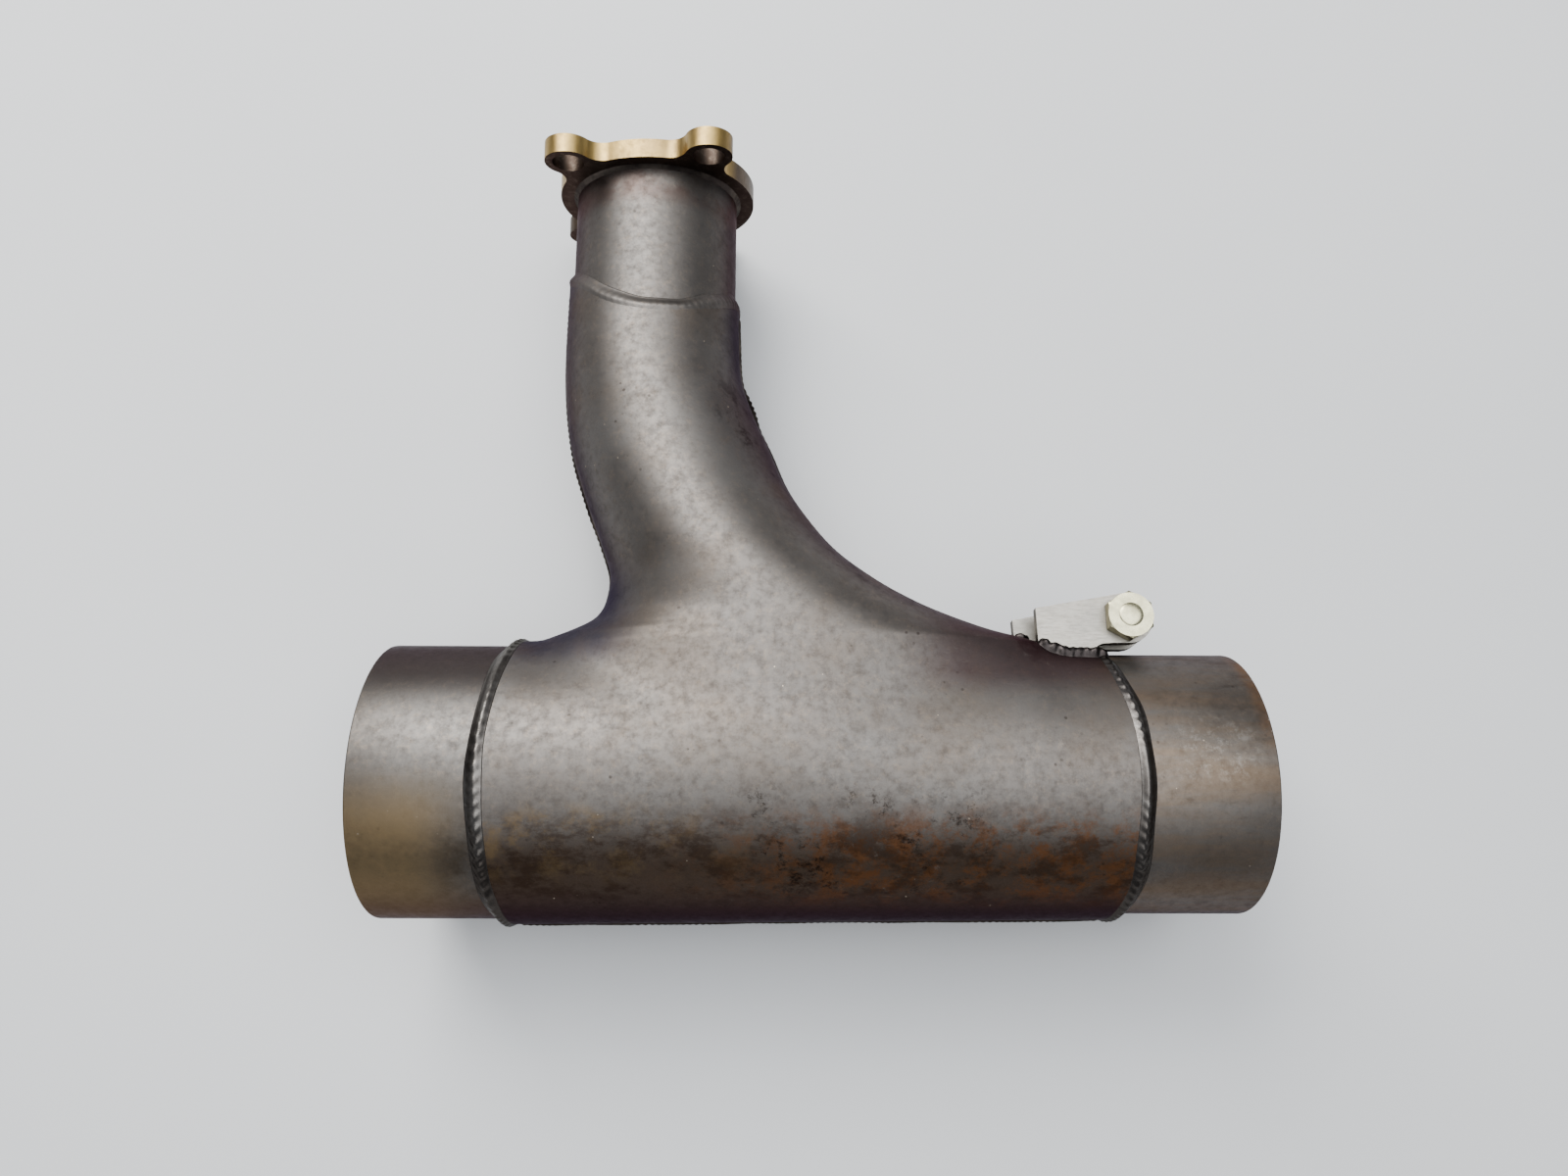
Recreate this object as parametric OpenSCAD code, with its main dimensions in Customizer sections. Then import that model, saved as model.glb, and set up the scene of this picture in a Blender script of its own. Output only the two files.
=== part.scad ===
// Exhaust tee of a flat aircraft piston engine: a straight run tube with a slip sleeve at one
// end and a slip spigot at the other, a swept riser with a four-ear flange, and a clevis.
// The run lies along +X, the riser along +Y, and the two stamped half shells meet at Z = 0.
// The origin is on the run axis, at the open end of the slip sleeve.

/* [Run] */
// Overall length of the run, end face to end face
run_len = 218.1; // [212:0.1:226]
// Outside diameter of the slip sleeve
sleeve_od = 69.85; // [69.6:0.05:70]
// Outside diameter of the slip spigot
spigot_od = 66.68; // [66.4:0.02:66.8]
// Wall of the sleeve and of the spigot
tube_wall = 1.245; // [0.9:0.005:1.6]
// How far each end tube reaches under the shells
tube_lap = 9; // [6:0.5:12]

/* [Shells] */
// Wall of the stamped half shells
shell_wall = 1.07; // [0.9:0.01:1.3]
// Place of the shell edge at the sleeve end, on the crest
shell_x0 = 30.8; // [29:0.1:33]
// Place of the shell edge at the spigot end, on the crest
shell_x1 = 186; // [184:0.1:188.5]
// Outer radius of the shells at the sleeve end
shell_r0 = 36.3; // [36.2:0.05:36.8]
// Outer radius of the shells at the spigot end
shell_r1 = 34.85; // [34.8:0.05:35.2]
// Width of the gap between the two shells on the mid plane
seam_gap = 0.04; // [0.02:0.01:0.2]

/* [Riser] */
// Distance of the riser axis from the open end of the sleeve
neck_x = 64.6; // [64.4:0.1:64.8]
// Outside diameter of the neck tube
neck_od = 46.0; // [45.8:0.05:46.1]
// Wall of the neck tube
neck_wall = 1.65; // [1.2:0.05:2]
// Lower end of the neck tube, inside the shells
neck_y0 = 113; // [108:1:116]
// Where the shells end on the neck, at the seam
mouth_side_y = 135.6; // [135:0.1:140]
// Where the shells end on the neck, at the crest
mouth_crest_y = 122.5; // [121:0.5:130]
// How much further the mouth reaches on the outer side of the bend than on the inner side, halved
mouth_skew = 3.3; // [0:0.05:3.5]

/* [Flange] */
// Distance of the flange's back face from the run axis, on the riser axis
flange_y = 166.4; // [160:0.2:172]
// Thickness of the flange
flange_t = 5.1; // [4:0.1:6.5]
// Lean of the flange towards the near side, degrees
flange_cant = 5.4; // [0:0.1:8]
// Clocking of the ears about the riser axis, degrees
flange_clock = 1.9; // [-6:0.1:6]
// Radius of the flange's hub
hub_r = 27.9; // [27:0.1:29]
// Radius of each ear
ear_lobe_r = 6.4; // [6:0.1:7]
// Diameter of the stud holes
stud_hole_d = 8.73; // [8:0.01:9.2]
// Sideways offset of the wide-set pair of holes
wide_x = 15.5; // [14:0.1:17]
// Half spacing of the wide-set pair of holes
wide_z = 28.8; // [27:0.1:30]
// Sideways offset of the close-set pair of holes
close_x = -22.7; // [-24:0.1:-21]
// Half spacing of the close-set pair of holes
close_z = 23.3; // [22:0.1:25]

/* [Clevis] */
// Where the clevis bolt's axis meets the near ear's outer face, along X
clevis_x = 190.5; // [189.5:0.1:191.5]
// The same point along Y
clevis_y = 41.4; // [41:0.1:42.5]
// The same point along Z
clevis_z = 14.2; // [13:0.1:15]
// Lean of the bolt's axis towards +Y, degrees
clevis_lean = 5; // [4:0.1:6]
// Thickness of each clevis ear
ear_t = 2.6; // [2:0.1:2.8]
// Free gap between the ears
ear_gap = 5; // [4.6:0.1:5.4]
// Radius of the ears' rounded ends
ear_r = 6.67; // [6.4:0.01:6.9]

/* [Fasteners] */
// Diameter of the bolt's shank
bolt_d = 6.3; // [6:0.05:6.35]
// Radial clearance of the shank in the ears
bolt_play = 0.07; // [0.03:0.01:0.1]
// Width across flats of the bolt head and of the nut
hex_af = 11.11; // [10:0.01:11.2]
// Height of the bolt head
head_h = 3.6; // [3:0.1:4]
// Thickness of the washer under the nut
washer_t = 0.81; // [0.5:0.01:1.6]

/* [Welds] */
// Width of the girth and seam beads
bead_w = 3.4; // [2.5:0.1:4]
// Height of a bead above the metal
bead_h = 0.85; // [0.5:0.05:1.2]

/* [Hidden] */
round_fn = 96;
sleeve_r = sleeve_od / 2;
spigot_r = spigot_od / 2;
neck_r = neck_od / 2;
bolt_r = bolt_d / 2;
hex_r = hex_af / 2 / cos(30);
skin = 0.06;
mouth_bow = mouth_side_y - mouth_crest_y;

// Outline of the riser as pairs of Y and X, and its crest height as pairs of Y and Z
neck_shell_r = neck_r + 0.13 + shell_wall;
outer_edge = [[-60, 40], [0, 32], [20, 32], [33, 35.5], [36, 40], [38, 45], [41, 50.6],
              [44, 53.2], [48, 54.6], [54, 55], [62, 52.4], [76, 47.2], [90, 42.9],
              [104, 40.9], [118, 40.2], [140, neck_x - neck_shell_r], [170, neck_x - neck_shell_r]];
inner_edge = [[-60, 150], [0, 168], [20, 176], [34, 173], [38.5, 158], [42, 148], [46, 138.6],
              [52, 127.8], [60, 117], [70, 108.4], [80, 102], [90, 97.7], [100, 93.2],
              [111, 89.7], [125, 88.8], [140, neck_x + neck_shell_r], [170, neck_x + neck_shell_r]];
crest = [[-60, 6], [-30, 22], [0, 34.6], [20, 34.4], [35, 33.6], [50, 32], [65, 30], [80, 28],
         [95, 26.2], [110, 24.9], [123, neck_shell_r], [170, neck_shell_r]];

// Smooth curve through pairs of place and value, flat beyond its ends
function seg(t, y, i = 0) = i >= len(t) - 2 || y < t[i + 1][0] ? i : seg(t, y, i + 1);
function slope(t, i) =
    i <= 0 || i >= len(t) - 1 ? 0 : (t[i + 1][1] - t[i - 1][1]) / (t[i + 1][0] - t[i - 1][0]);
function herm(t, i, y) =
    let(d = t[i + 1][0] - t[i][0], u = max(0, min(1, (y - t[i][0]) / d)))
    (1 + 2 * u) * (1 - u) * (1 - u) * t[i][1] + u * u * (3 - 2 * u) * t[i + 1][1]
    + d * u * (1 - u) * (1 - u) * slope(t, i) - d * u * u * (1 - u) * slope(t, i + 1);
function curve(t, y) = herm(t, seg(t, y), y);
function ramp(a, b, v) = let(u = max(0, min(1, (v - a) / (b - a)))) u * u * (3 - 2 * u);

// Radius of the run part of the shells, and their edges at the two ends
function run_r(x, t) = shell_r0 + (shell_r1 - shell_r0) * (x - shell_x0) / (shell_x1 - shell_x0) - t;
edge_bow = 2.4;
edge_sweep = 4.2;
edge_tuck = 2.2;
function end_x0(y) = shell_x0 + edge_bow * pow(y / shell_r0, 2);
function end_x1(y) = shell_x1 - (y > 0 ? edge_sweep : edge_tuck) * pow(y / shell_r1, 2);

// Squared height of the shell above the mid plane, t inside its outer face. The run and the
// riser blend into each other.
blend = 260;
function run_sq(x, y, t) = pow(run_r(x, t), 2) - y * y;
function riser_sq(x, y, t) =
    let(a = curve(outer_edge, y) + t, b = curve(inner_edge, y) - t, h = curve(crest, y) - t)
    h * h * (1 - pow((2 * x - a - b) / (b - a), 2)) - (y < 0 ? 2 * y * y : 0);
function ends(x) = ramp(shell_x0, shell_x0 + 18, x) * (1 - ramp(shell_x1 - 25, shell_x1, x));
function height_sq(x, y, t) =
    let(a = run_sq(x, y, t), b = riser_sq(x, y, t), k = blend * ends(x) * ramp(-30, -5, y))
    (a + b + sqrt(pow(a - b, 2) + k * k)) / 2;
function height(x, y, t) = sqrt(max(0, height_sq(x, y, t)));

// Where the shell meets the mid plane on a line of constant Y, between a point inside it and
// a point outside it
function rim(y, t, xin, xout, n = 16) =
    n == 0 ? (xin + xout) / 2
    : let(m = (xin + xout) / 2)
      height_sq(m, y, t) > 0 ? rim(y, t, m, xout, n - 1) : rim(y, t, xin, m, n - 1);
function spine(y) = (curve(outer_edge, y) + curve(inner_edge, y)) / 2;
function rim_x0(y, t) = rim(y, t, spine(y), shell_x0 + edge_bow);
function rim_x1(y, t) = rim(y, t, spine(y), shell_x1 - edge_sweep);

// Rows of the shell's grid, as Y over the run radius, and its columns, as 0 to 1 across
run_rows = 20;
rows = concat([for (i = [0:run_rows]) -cos(i * 180 / run_rows)],
              [1.012, 1.035, 1.07, 1.12, 1.18, 1.26, 1.36, 1.48, 1.62, 1.78, 1.96, 2.16,
               2.38, 2.62, 2.88, 3.12, 3.34, 3.52, 3.64, mouth_side_y / shell_r0]);
cols = 28;
function fade(y) = pow(max(0, (y - 70) / (mouth_side_y - 70)), 2);
function row_point(q, s, t) =
    let(y = q * shell_r0, f = fade(y), u = -cos(180 * s),
        a = q > 1 ? rim_x0(y + mouth_skew * f, t) : end_x0(y),
        b = q > 1 ? rim_x1(y - mouth_skew * f, t) : end_x1(q * shell_r1),
        x = (a + b) / 2 + (b - a) / 2 * u,
        yy = q > 1 ? y - f * (mouth_bow * (1 - u * u) + mouth_skew * u) : q * run_r(x, t))
    [x, yy, max(seam_gap / 2, height(x, yy, t))];
function skin_points(t) = [for (q = rows, i = [0:cols]) row_point(q, i / cols, t)];

// One half shell: outer skin, inner skin and the rim between them
module half_shell() {
    n = cols + 1;
    m = len(rows);
    k = n * m;
    ring = concat([for (i = [0:n - 2]) i], [for (j = [0:m - 2]) j * n + n - 1],
                  [for (i = [n - 1:-1:1]) (m - 1) * n + i], [for (j = [m - 1:-1:1]) j * n]);
    outer = [for (j = [0:m - 2], i = [0:n - 2], f = [0:1])
             let(a = j * n + i) f == 0 ? [a, a + n, a + 1] : [a + 1, a + n, a + n + 1]];
    inner = [for (f = outer) [f[0] + k, f[2] + k, f[1] + k]];
    edge = [for (i = [0:len(ring) - 1], f = [0:1])
            let(a = ring[i], b = ring[(i + 1) % len(ring)])
            f == 0 ? [a, b, b + k] : [a, b + k, a + k]];
    polyhedron(concat(skin_points(0), skin_points(shell_wall)), concat(outer, inner, edge));
}

// A bead swept along points, each with the outward normal of the metal it lies on. A closed
// bead joins up with its start.
function unit(v) = v / norm(v);
function along(p, i, closed) =
    let(n = len(p), a = closed ? (i + n - 1) % n : max(0, i - 1),
        b = closed ? (i + 1) % n : min(n - 1, i + 1))
    unit(p[b] - p[a]);
module bead(p, nrm, w, h, sink = 0.3, closed = false) {
    sides = 8;
    n = len(p);
    pts = [for (i = [0:n - 1], s = [0:sides - 1])
           let(a = s * 360 / sides, b = unit(cross(along(p, i, closed), nrm[i])))
           p[i] + b * (w / 2 * cos(a)) + nrm[i] * (sin(a) > 0 ? h * sin(a) : sink * sin(a))];
    last = closed ? n - 1 : n - 2;
    walls = [for (i = [0:last], s = [0:sides - 1], f = [0:1])
             let(a = i * sides + s, b = i * sides + (s + 1) % sides,
                 c = ((i + 1) % n) * sides + s, d = ((i + 1) % n) * sides + (s + 1) % sides)
             f == 0 ? [a, b, c] : [b, d, c]];
    caps = closed ? [] : [[for (s = [sides - 1:-1:0]) s],
                          [for (s = [0:sides - 1]) (n - 1) * sides + s]];
    polyhedron(pts, concat(walls, caps));
}

// Axis frames of the flange and of the clevis bolt, local +Z along each axis
module on_flange() {
    translate([neck_x, flange_y, 0]) rotate([-90 + flange_cant, 0, 0]) children();
}
module on_bolt() {
    translate([clevis_x, clevis_y, clevis_z]) rotate([-clevis_lean, 0, 0]) children();
}
module along_x(x) {
    translate([x, 0, 0]) rotate([0, 90, 0]) children();
}
module tube(r, wall, len) {
    difference() {
        cylinder(r = r, h = len, $fn = round_fn);
        translate([0, 0, -1]) cylinder(r = r - wall, h = len + 2, $fn = round_fn);
    }
}

module slip_sleeve() {
    color("rosybrown") along_x(0) tube(sleeve_r, tube_wall, shell_x0 + tube_lap);
}

// The spigot is drawn down a little where it goes under the shells
module slip_spigot() {
    x0 = shell_x1 - tube_lap - 3;
    x1 = shell_x1 + 3;
    color("dimgray") difference() {
        union() {
            along_x(x0) cylinder(r = spigot_r - 0.4, h = run_len - x0, $fn = round_fn);
            along_x(x1) cylinder(r = spigot_r, h = run_len - x1, $fn = round_fn);
        }
        along_x(x0 - 1) cylinder(r = spigot_r - tube_wall, h = run_len - x0 + 2, $fn = round_fn);
    }
}

module shell_near() {
    color("gray") half_shell();
}

module shell_far() {
    color("slategray") mirror([0, 0, 1]) half_shell();
}

module neck_tube() {
    color("darkgray") difference() {
        translate([neck_x, neck_y0, 0]) rotate([-90, 0, 0])
            tube(neck_r, neck_wall, flange_y - neck_y0 + 8);
        on_flange() translate([-40, -40, -skin]) cube([80, 80, 30]);
    }
}

ears = [[wide_x, wide_z], [close_x, close_z], [close_x, -close_z], [wide_x, -wide_z]];
function turn(p, a) = [p[0] * cos(a) - p[1] * sin(a), p[0] * sin(a) + p[1] * cos(a)];

// Fillet between the hub and one side of an ear. Its ends dip a little into both circles.
fillet_r = 5;
fillet_dip = 0.02;
function fillet(p, s) =
    let(d = norm(p), u = p / d, a = hub_r + fillet_r, b = ear_lobe_r + fillet_r,
        f = a * turn(u, s * acos((d * d + a * a - b * b) / (2 * d * a))),
        v0 = -f / a, v1 = (p - f) / b, sweep = acos(v0 * v1))
    [for (i = [0:8]) f + (fillet_r + fillet_dip) * turn(v0, s * sweep * i / 8)];
function reversed(list) = [for (i = [len(list) - 1:-1:0]) list[i]];

module flange() {
    color("darkkhaki") on_flange() difference() {
        linear_extrude(flange_t) {
            circle(hub_r, $fn = round_fn);
            for (e = ears) {
                p = turn(e, flange_clock);
                translate(p) circle(ear_lobe_r, $fn = 48);
                polygon(concat([[0, 0]], fillet(p, -1), reversed(fillet(p, 1))));
            }
        }
        translate([0, 0, -1]) cylinder(r = neck_r - neck_wall, h = flange_t + 2, $fn = round_fn);
        for (e = ears)
            translate(turn(e, flange_clock)) translate([0, 0, -1])
                cylinder(d = stud_hole_d, h = flange_t + 2, $fn = 48);
    }
}

// Fillet weld all round between the neck tube and the flange's back face
module flange_weld() {
    leg = 2.4;
    root = 0.3;
    r0 = neck_r - root;
    color("dimgray") on_flange() rotate_extrude($fn = round_fn)
        polygon([[r0, root], [neck_r + leg, root], [neck_r + leg, 0],
                 [neck_r + leg * 0.45, -leg * 0.45], [neck_r + root, -leg], [r0, -leg]]);
}

// Beads along the mid-plane seam of the half shells
function flat_normals(p, s) =
    [for (i = [0:len(p) - 1]) let(a = along(p, i, false)) [s * a[1], -s * a[0], 0]];
seam_w = 2.4;
seam_h = 0.7;

module seam_weld_bottom() {
    x0 = shell_x0 + 4;
    x1 = shell_x1 - 3;
    p = [for (x = [x0:(x1 - x0) / 24:x1 + 0.01]) [x, -run_r(x, 0), 0]];
    color("dimgray") bead(p, flat_normals(p, 1), seam_w, seam_h);
}

module seam_weld_outer() {
    top = mouth_side_y + mouth_skew - 2;
    down = [for (i = [0:26]) let(y = top - i * (top - shell_r0 - 2) / 26) [rim_x0(y, 0), y, 0]];
    left = [for (x = [42:-3:35]) [x, run_r(x, 0) + 0.05, 0]];
    p = concat(down, left);
    color("dimgray") bead(p, flat_normals(p, 1), seam_w, seam_h);
}

module seam_weld_inner() {
    top = mouth_side_y - mouth_skew - 2;
    down = [for (i = [0:26]) let(y = top - i * (top - shell_r0 - 2) / 26) [rim_x1(y, 0), y, 0]];
    right = [for (x = [172:4:180]) [x, run_r(x, 0) + 0.05, 0]];
    p = concat(down, right);
    color("dimgray") bead(p, flat_normals(p, -1), seam_w, seam_h);
}

// Beads round the shell ends, on the sleeve, the spigot and the neck
module ring_bead(r, side) {
    n = 48;
    a = [for (i = [0:n - 1]) i * 360 / n];
    p = [for (t = a) [side < 0 ? end_x0(r * cos(t)) - 0.8 : end_x1(r * cos(t)) + 0.8,
                      r * cos(t), r * sin(t)]];
    nrm = [for (t = a) [0, cos(t), sin(t)]];
    bead(p, nrm, bead_w, shell_wall + bead_h, 0.1, true);
}

module girth_weld_sleeve() {
    color("dimgray") ring_bead(sleeve_r + 0.2, -1);
}

module girth_weld_spigot() {
    color("dimgray") ring_bead(spigot_r + 0.2, 1);
}

module neck_weld() {
    n = 48;
    a = [for (i = [0:n - 1]) (i + 0.5) * 360 / n];
    p = [for (t = a) [neck_x + (neck_r + 0.2) * cos(t),
                      mouth_side_y - mouth_bow * pow(sin(t), 2) - mouth_skew * cos(t) + 0.7,
                      (neck_r + 0.2) * sin(t)]];
    nrm = [for (t = a) [cos(t), 0, sin(t)]];
    color("dimgray") bead(p, nrm, bead_w - 0.6, shell_wall + 0.35, 0.1, true);
}

// Clevis: two plates whose roots are cut to the shell's flank
ear_pitch = ear_t + ear_gap;
tab_x = -23.6;
far_tab_x = -28.1;
module ear_outline(tab, top) {
    circle(ear_r, $fn = 64);
    polygon([[tab, top], [tab + 0.8, -12], [-9.5, -12], [-7, -ear_r + 0.1], [0, -ear_r],
             [0, 0], ear_r * [sin(-11), cos(-11)]]);
}

module flank_clearance() {
    along_x(150) cylinder(r1 = 38.4, r2 = 34.2, h = 42, $fn = round_fn);
}

module ear(depth, tab, top) {
    difference() {
        on_bolt() translate([0, 0, -depth - ear_t]) linear_extrude(ear_t) ear_outline(tab, top);
        flank_clearance();
        on_bolt() translate([0, 0, -30]) cylinder(r = bolt_r + bolt_play, h = 40, $fn = round_fn);
    }
}

module clevis_ear_near() {
    color("silver") ear(0, tab_x, 2.5);
}

module clevis_ear_far() {
    color("silver") ear(ear_pitch, far_tab_x, 1.2);
}

// Beads in the corner between an ear's face and the shell's flank
function ear_z(s, y) = clevis_z + (s - (y - clevis_y) * sin(clevis_lean)) / cos(clevis_lean);
function corner_y(x, s, lo = 26, hi = 44, n = 16) =
    n == 0 ? (lo + hi) / 2
    : let(m = (lo + hi) / 2)
      height(x, m, 0) > ear_z(s, m) ? corner_y(x, s, m, hi, n - 1) : corner_y(x, s, lo, m, n - 1);
module ear_bead(x0, x1, s, lift, r) {
    n = 10;
    p = [for (i = [0:n]) let(x = x0 + (x1 - x0) * i / n, y = corner_y(x, s))
         [x, y + 0.4, ear_z(s, y) + lift * 0.4]];
    nrm = [for (i = [0:n]) unit([0, 0.75, lift * 0.9])];
    bead(p, nrm, 2 * r, r, 0.4 * r);
}

module ear_weld_near() {
    color("dimgray") ear_bead(clevis_x + tab_x + 0.6, clevis_x - 6.6, 0, 1, 2);
}

module ear_weld_far() {
    color("dimgray") ear_bead(clevis_x + far_tab_x + 1, clevis_x - 9, -ear_pitch - ear_t, -1, 1.8);
}

module ear_weld_tab() {
    color("dimgray") ear_bead(clevis_x + far_tab_x + 0.8, clevis_x + tab_x - 0.6, -ear_pitch, 1, 1.3);
}

// Fasteners, drawn along the bolt's axis: zero is the near ear's outer face
stack = 2 * ear_t + ear_gap;
washer_r = 6.35;
nut_hex_h = 3.2;
nut_h = 5.6;
thread_gap = 0.05;
bolt_len = stack + washer_t + nut_h + 1.6;

module hex(r, h) {
    rotate([0, 0, 30]) cylinder(r = r, h = h, $fn = 6);
}

module clevis_bolt() {
    dome_r = 3.05;
    dome_h = 0.5;
    ball_r = (dome_r * dome_r + dome_h * dome_h) / (2 * dome_h);
    tip = 0.6;
    color("palegoldenrod") on_bolt() {
        translate([0, 0, 0.03]) cylinder(r = hex_af / 2 - 0.25, h = 0.4, $fn = round_fn);
        translate([0, 0, 0.35]) intersection() {
            hex(hex_r, head_h - 0.35);
            translate([0, 0, -0.01])
                cylinder(r1 = hex_r + 5, r2 = hex_r - 0.65, h = head_h - 0.34, $fn = round_fn);
        }
        intersection() {
            translate([0, 0, head_h + dome_h - ball_r]) sphere(ball_r, $fn = round_fn);
            translate([0, 0, head_h - 0.4]) cylinder(r = dome_r, h = 1, $fn = round_fn);
        }
        translate([0, 0, tip - bolt_len]) cylinder(r = bolt_r, h = bolt_len - tip + 0.2, $fn = round_fn);
        translate([0, 0, -bolt_len]) cylinder(r1 = bolt_r - tip, r2 = bolt_r, h = tip, $fn = round_fn);
    }
}

module nut_washer() {
    color("lightgray") on_bolt() translate([0, 0, -stack - washer_t - 0.03]) difference() {
        cylinder(r = washer_r, h = washer_t, $fn = round_fn);
        translate([0, 0, -1]) cylinder(r = bolt_r + 0.2, h = washer_t + 2, $fn = round_fn);
    }
}

// At rest a flat of the nut faces the spigot, so the spigot's mate passes under it
module lock_nut() {
    top = -stack - washer_t - 0.06;
    collar_r = 4.6;
    color("lightgray") on_bolt() difference() {
        union() {
            translate([0, 0, top - nut_hex_h]) rotate([0, 0, 30]) hex(hex_r, nut_hex_h);
            translate([0, 0, top - nut_h])
                cylinder(r = collar_r, h = nut_h - nut_hex_h + 0.2, $fn = round_fn);
        }
        translate([0, 0, top - nut_h - 1]) cylinder(r = bolt_r + thread_gap, h = nut_h + 2, $fn = round_fn);
    }
}

slip_sleeve();
slip_spigot();
shell_near();
shell_far();
neck_tube();
flange();
seam_weld_bottom();
seam_weld_outer();
seam_weld_inner();
girth_weld_sleeve();
girth_weld_spigot();
neck_weld();
flange_weld();
clevis_ear_near();
clevis_ear_far();
ear_weld_near();
ear_weld_far();
ear_weld_tab();
clevis_bolt();
nut_washer();
lock_nut();
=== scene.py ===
import math
import bmesh
import bpy
import numpy as np
from mathutils import Matrix, Vector
from mathutils.geometry import tessellate_polygon


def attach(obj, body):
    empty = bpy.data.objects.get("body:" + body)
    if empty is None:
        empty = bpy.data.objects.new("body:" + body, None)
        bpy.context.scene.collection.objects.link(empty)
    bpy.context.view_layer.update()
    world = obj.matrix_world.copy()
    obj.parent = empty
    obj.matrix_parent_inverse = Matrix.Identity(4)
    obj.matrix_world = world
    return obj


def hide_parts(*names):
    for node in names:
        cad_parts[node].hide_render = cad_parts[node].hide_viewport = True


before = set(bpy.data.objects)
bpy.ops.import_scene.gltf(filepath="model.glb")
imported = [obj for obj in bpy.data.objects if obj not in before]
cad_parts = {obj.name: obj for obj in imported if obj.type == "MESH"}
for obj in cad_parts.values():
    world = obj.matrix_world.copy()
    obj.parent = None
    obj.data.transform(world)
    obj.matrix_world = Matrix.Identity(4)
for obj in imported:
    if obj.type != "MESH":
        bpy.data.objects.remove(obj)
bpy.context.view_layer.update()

MM = 0.001

# ---------------------------------------------------------------- sizes, in mm, as in the part's source
RUN_LEN, SLEEVE_R, SPIGOT_R, TUBE_WALL, TUBE_LAP = 218.1, 69.85 / 2, 66.68 / 2, 1.245, 9.0
SHELL_WALL, X0, X1, R0, R1 = 1.07, 30.8, 186.0, 36.3, 34.85
EDGE_BOW, EDGE_SWEEP, EDGE_TUCK = 2.4, 4.2, 2.2
NECK_X, NECK_R, NECK_WALL, NECK_Y0 = 64.6, 23.0, 1.65, 113.0
MOUTH_SIDE, MOUTH_CREST, MOUTH_SKEW = 135.6, 122.5, 3.3
FLANGE_Y, FLANGE_T, CANT, CLOCK = 166.4, 5.1, math.radians(5.4), math.radians(1.9)
HUB_R, LOBE_R, HOLE_R, FILLET_R = 27.9, 6.4, 8.73 / 2, 5.0
EARS = [(15.5, 28.8), (-22.7, 23.3), (-22.7, -23.3), (15.5, -28.8)]
CLEVIS, LEAN = np.array([190.5, 41.4, 14.2]), math.radians(5)
EAR_T, EAR_GAP, EAR_R = 2.6, 5.0, 6.67
BOLT_R, HEX_AF, HEAD_H, WASHER_T, WASHER_R = 3.15, 11.11, 3.6, 0.81, 6.35
NUT_HEX_H, NUT_H = 3.2, 5.6
STACK = 2 * EAR_T + EAR_GAP
BOLT_LEN = STACK + WASHER_T + NUT_H + 1.6
PITCH = 25.4 / 28
SHELL_NECK_R = NECK_R + 0.13 + SHELL_WALL
MOUTH_BOW = MOUTH_SIDE - MOUTH_CREST
# The riser's two edges as pairs of Y and X, and its crest height as pairs of Y and Z
OUTER_EDGE = [(-60, 40), (0, 32), (20, 32), (33, 35.5), (36, 40), (38, 45), (41, 50.6), (44, 53.2),
              (48, 54.6), (54, 55), (62, 52.4), (76, 47.2), (90, 42.9), (104, 40.9), (118, 40.2),
              (140, NECK_X - SHELL_NECK_R), (170, NECK_X - SHELL_NECK_R)]
INNER_EDGE = [(-60, 150), (0, 168), (20, 176), (34, 173), (38.5, 158), (42, 148), (46, 138.6), (52, 127.8),
              (60, 117), (70, 108.4), (80, 102), (90, 97.7), (100, 93.2), (111, 89.7), (125, 88.8),
              (140, NECK_X + SHELL_NECK_R), (170, NECK_X + SHELL_NECK_R)]
CREST = [(-60, 6), (-30, 22), (0, 34.6), (20, 34.4), (35, 33.6), (50, 32), (65, 30), (80, 28), (95, 26.2),
         (110, 24.9), (123, SHELL_NECK_R), (170, SHELL_NECK_R)]
# How softly run and riser flow together, and how far from the ends of the run that stops
BLEND, BLEND_X0, BLEND_X1 = 260, 18, 25


# ---------------------------------------------------------------- the shells' height above the seam plane
def curve(table, y):
    """Smooth curve through pairs of place and value, flat beyond its ends."""
    ks = np.array([k for k, _ in table], float)
    vs = np.array([v for _, v in table], float)
    slopes = np.zeros_like(vs)
    slopes[1:-1] = (vs[2:] - vs[:-2]) / (ks[2:] - ks[:-2])
    i = np.clip(np.searchsorted(ks, y, side="right") - 1, 0, len(ks) - 2)
    d = ks[i + 1] - ks[i]
    u = np.clip((y - ks[i]) / d, 0, 1)
    return ((1 + 2 * u) * (1 - u) ** 2 * vs[i] + u * u * (3 - 2 * u) * vs[i + 1]
            + d * u * (1 - u) ** 2 * slopes[i] - d * u * u * (1 - u) * slopes[i + 1])


def smooth(a, b, v):
    u = np.clip((np.asarray(v, float) - a) / (b - a), 0, 1)
    return u * u * (3 - 2 * u)


def run_r(x, t=0.0):
    return R0 + (R1 - R0) * (x - X0) / (X1 - X0) - t


def height_sq(x, y, t=0.0):
    """Square of the shell's height above the seam plane, t mm inside its outer face."""
    x, y = np.asarray(x, float), np.asarray(y, float)
    run = run_r(x, t) ** 2 - y * y
    a, b, h = curve(OUTER_EDGE, y) + t, curve(INNER_EDGE, y) - t, curve(CREST, y) - t
    riser = h * h * (1 - ((2 * x - a - b) / (b - a)) ** 2) - np.where(y < 0, 2 * y * y, 0)
    ends = smooth(X0, X0 + BLEND_X0, x) * (1 - smooth(X1 - BLEND_X1, X1, x))
    k = BLEND * ends * smooth(-30, -5, y)
    return (run + riser + np.sqrt((run - riser) ** 2 + k * k)) / 2


def end_x0(y):
    return X0 + EDGE_BOW * (y / R0) ** 2


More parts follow.
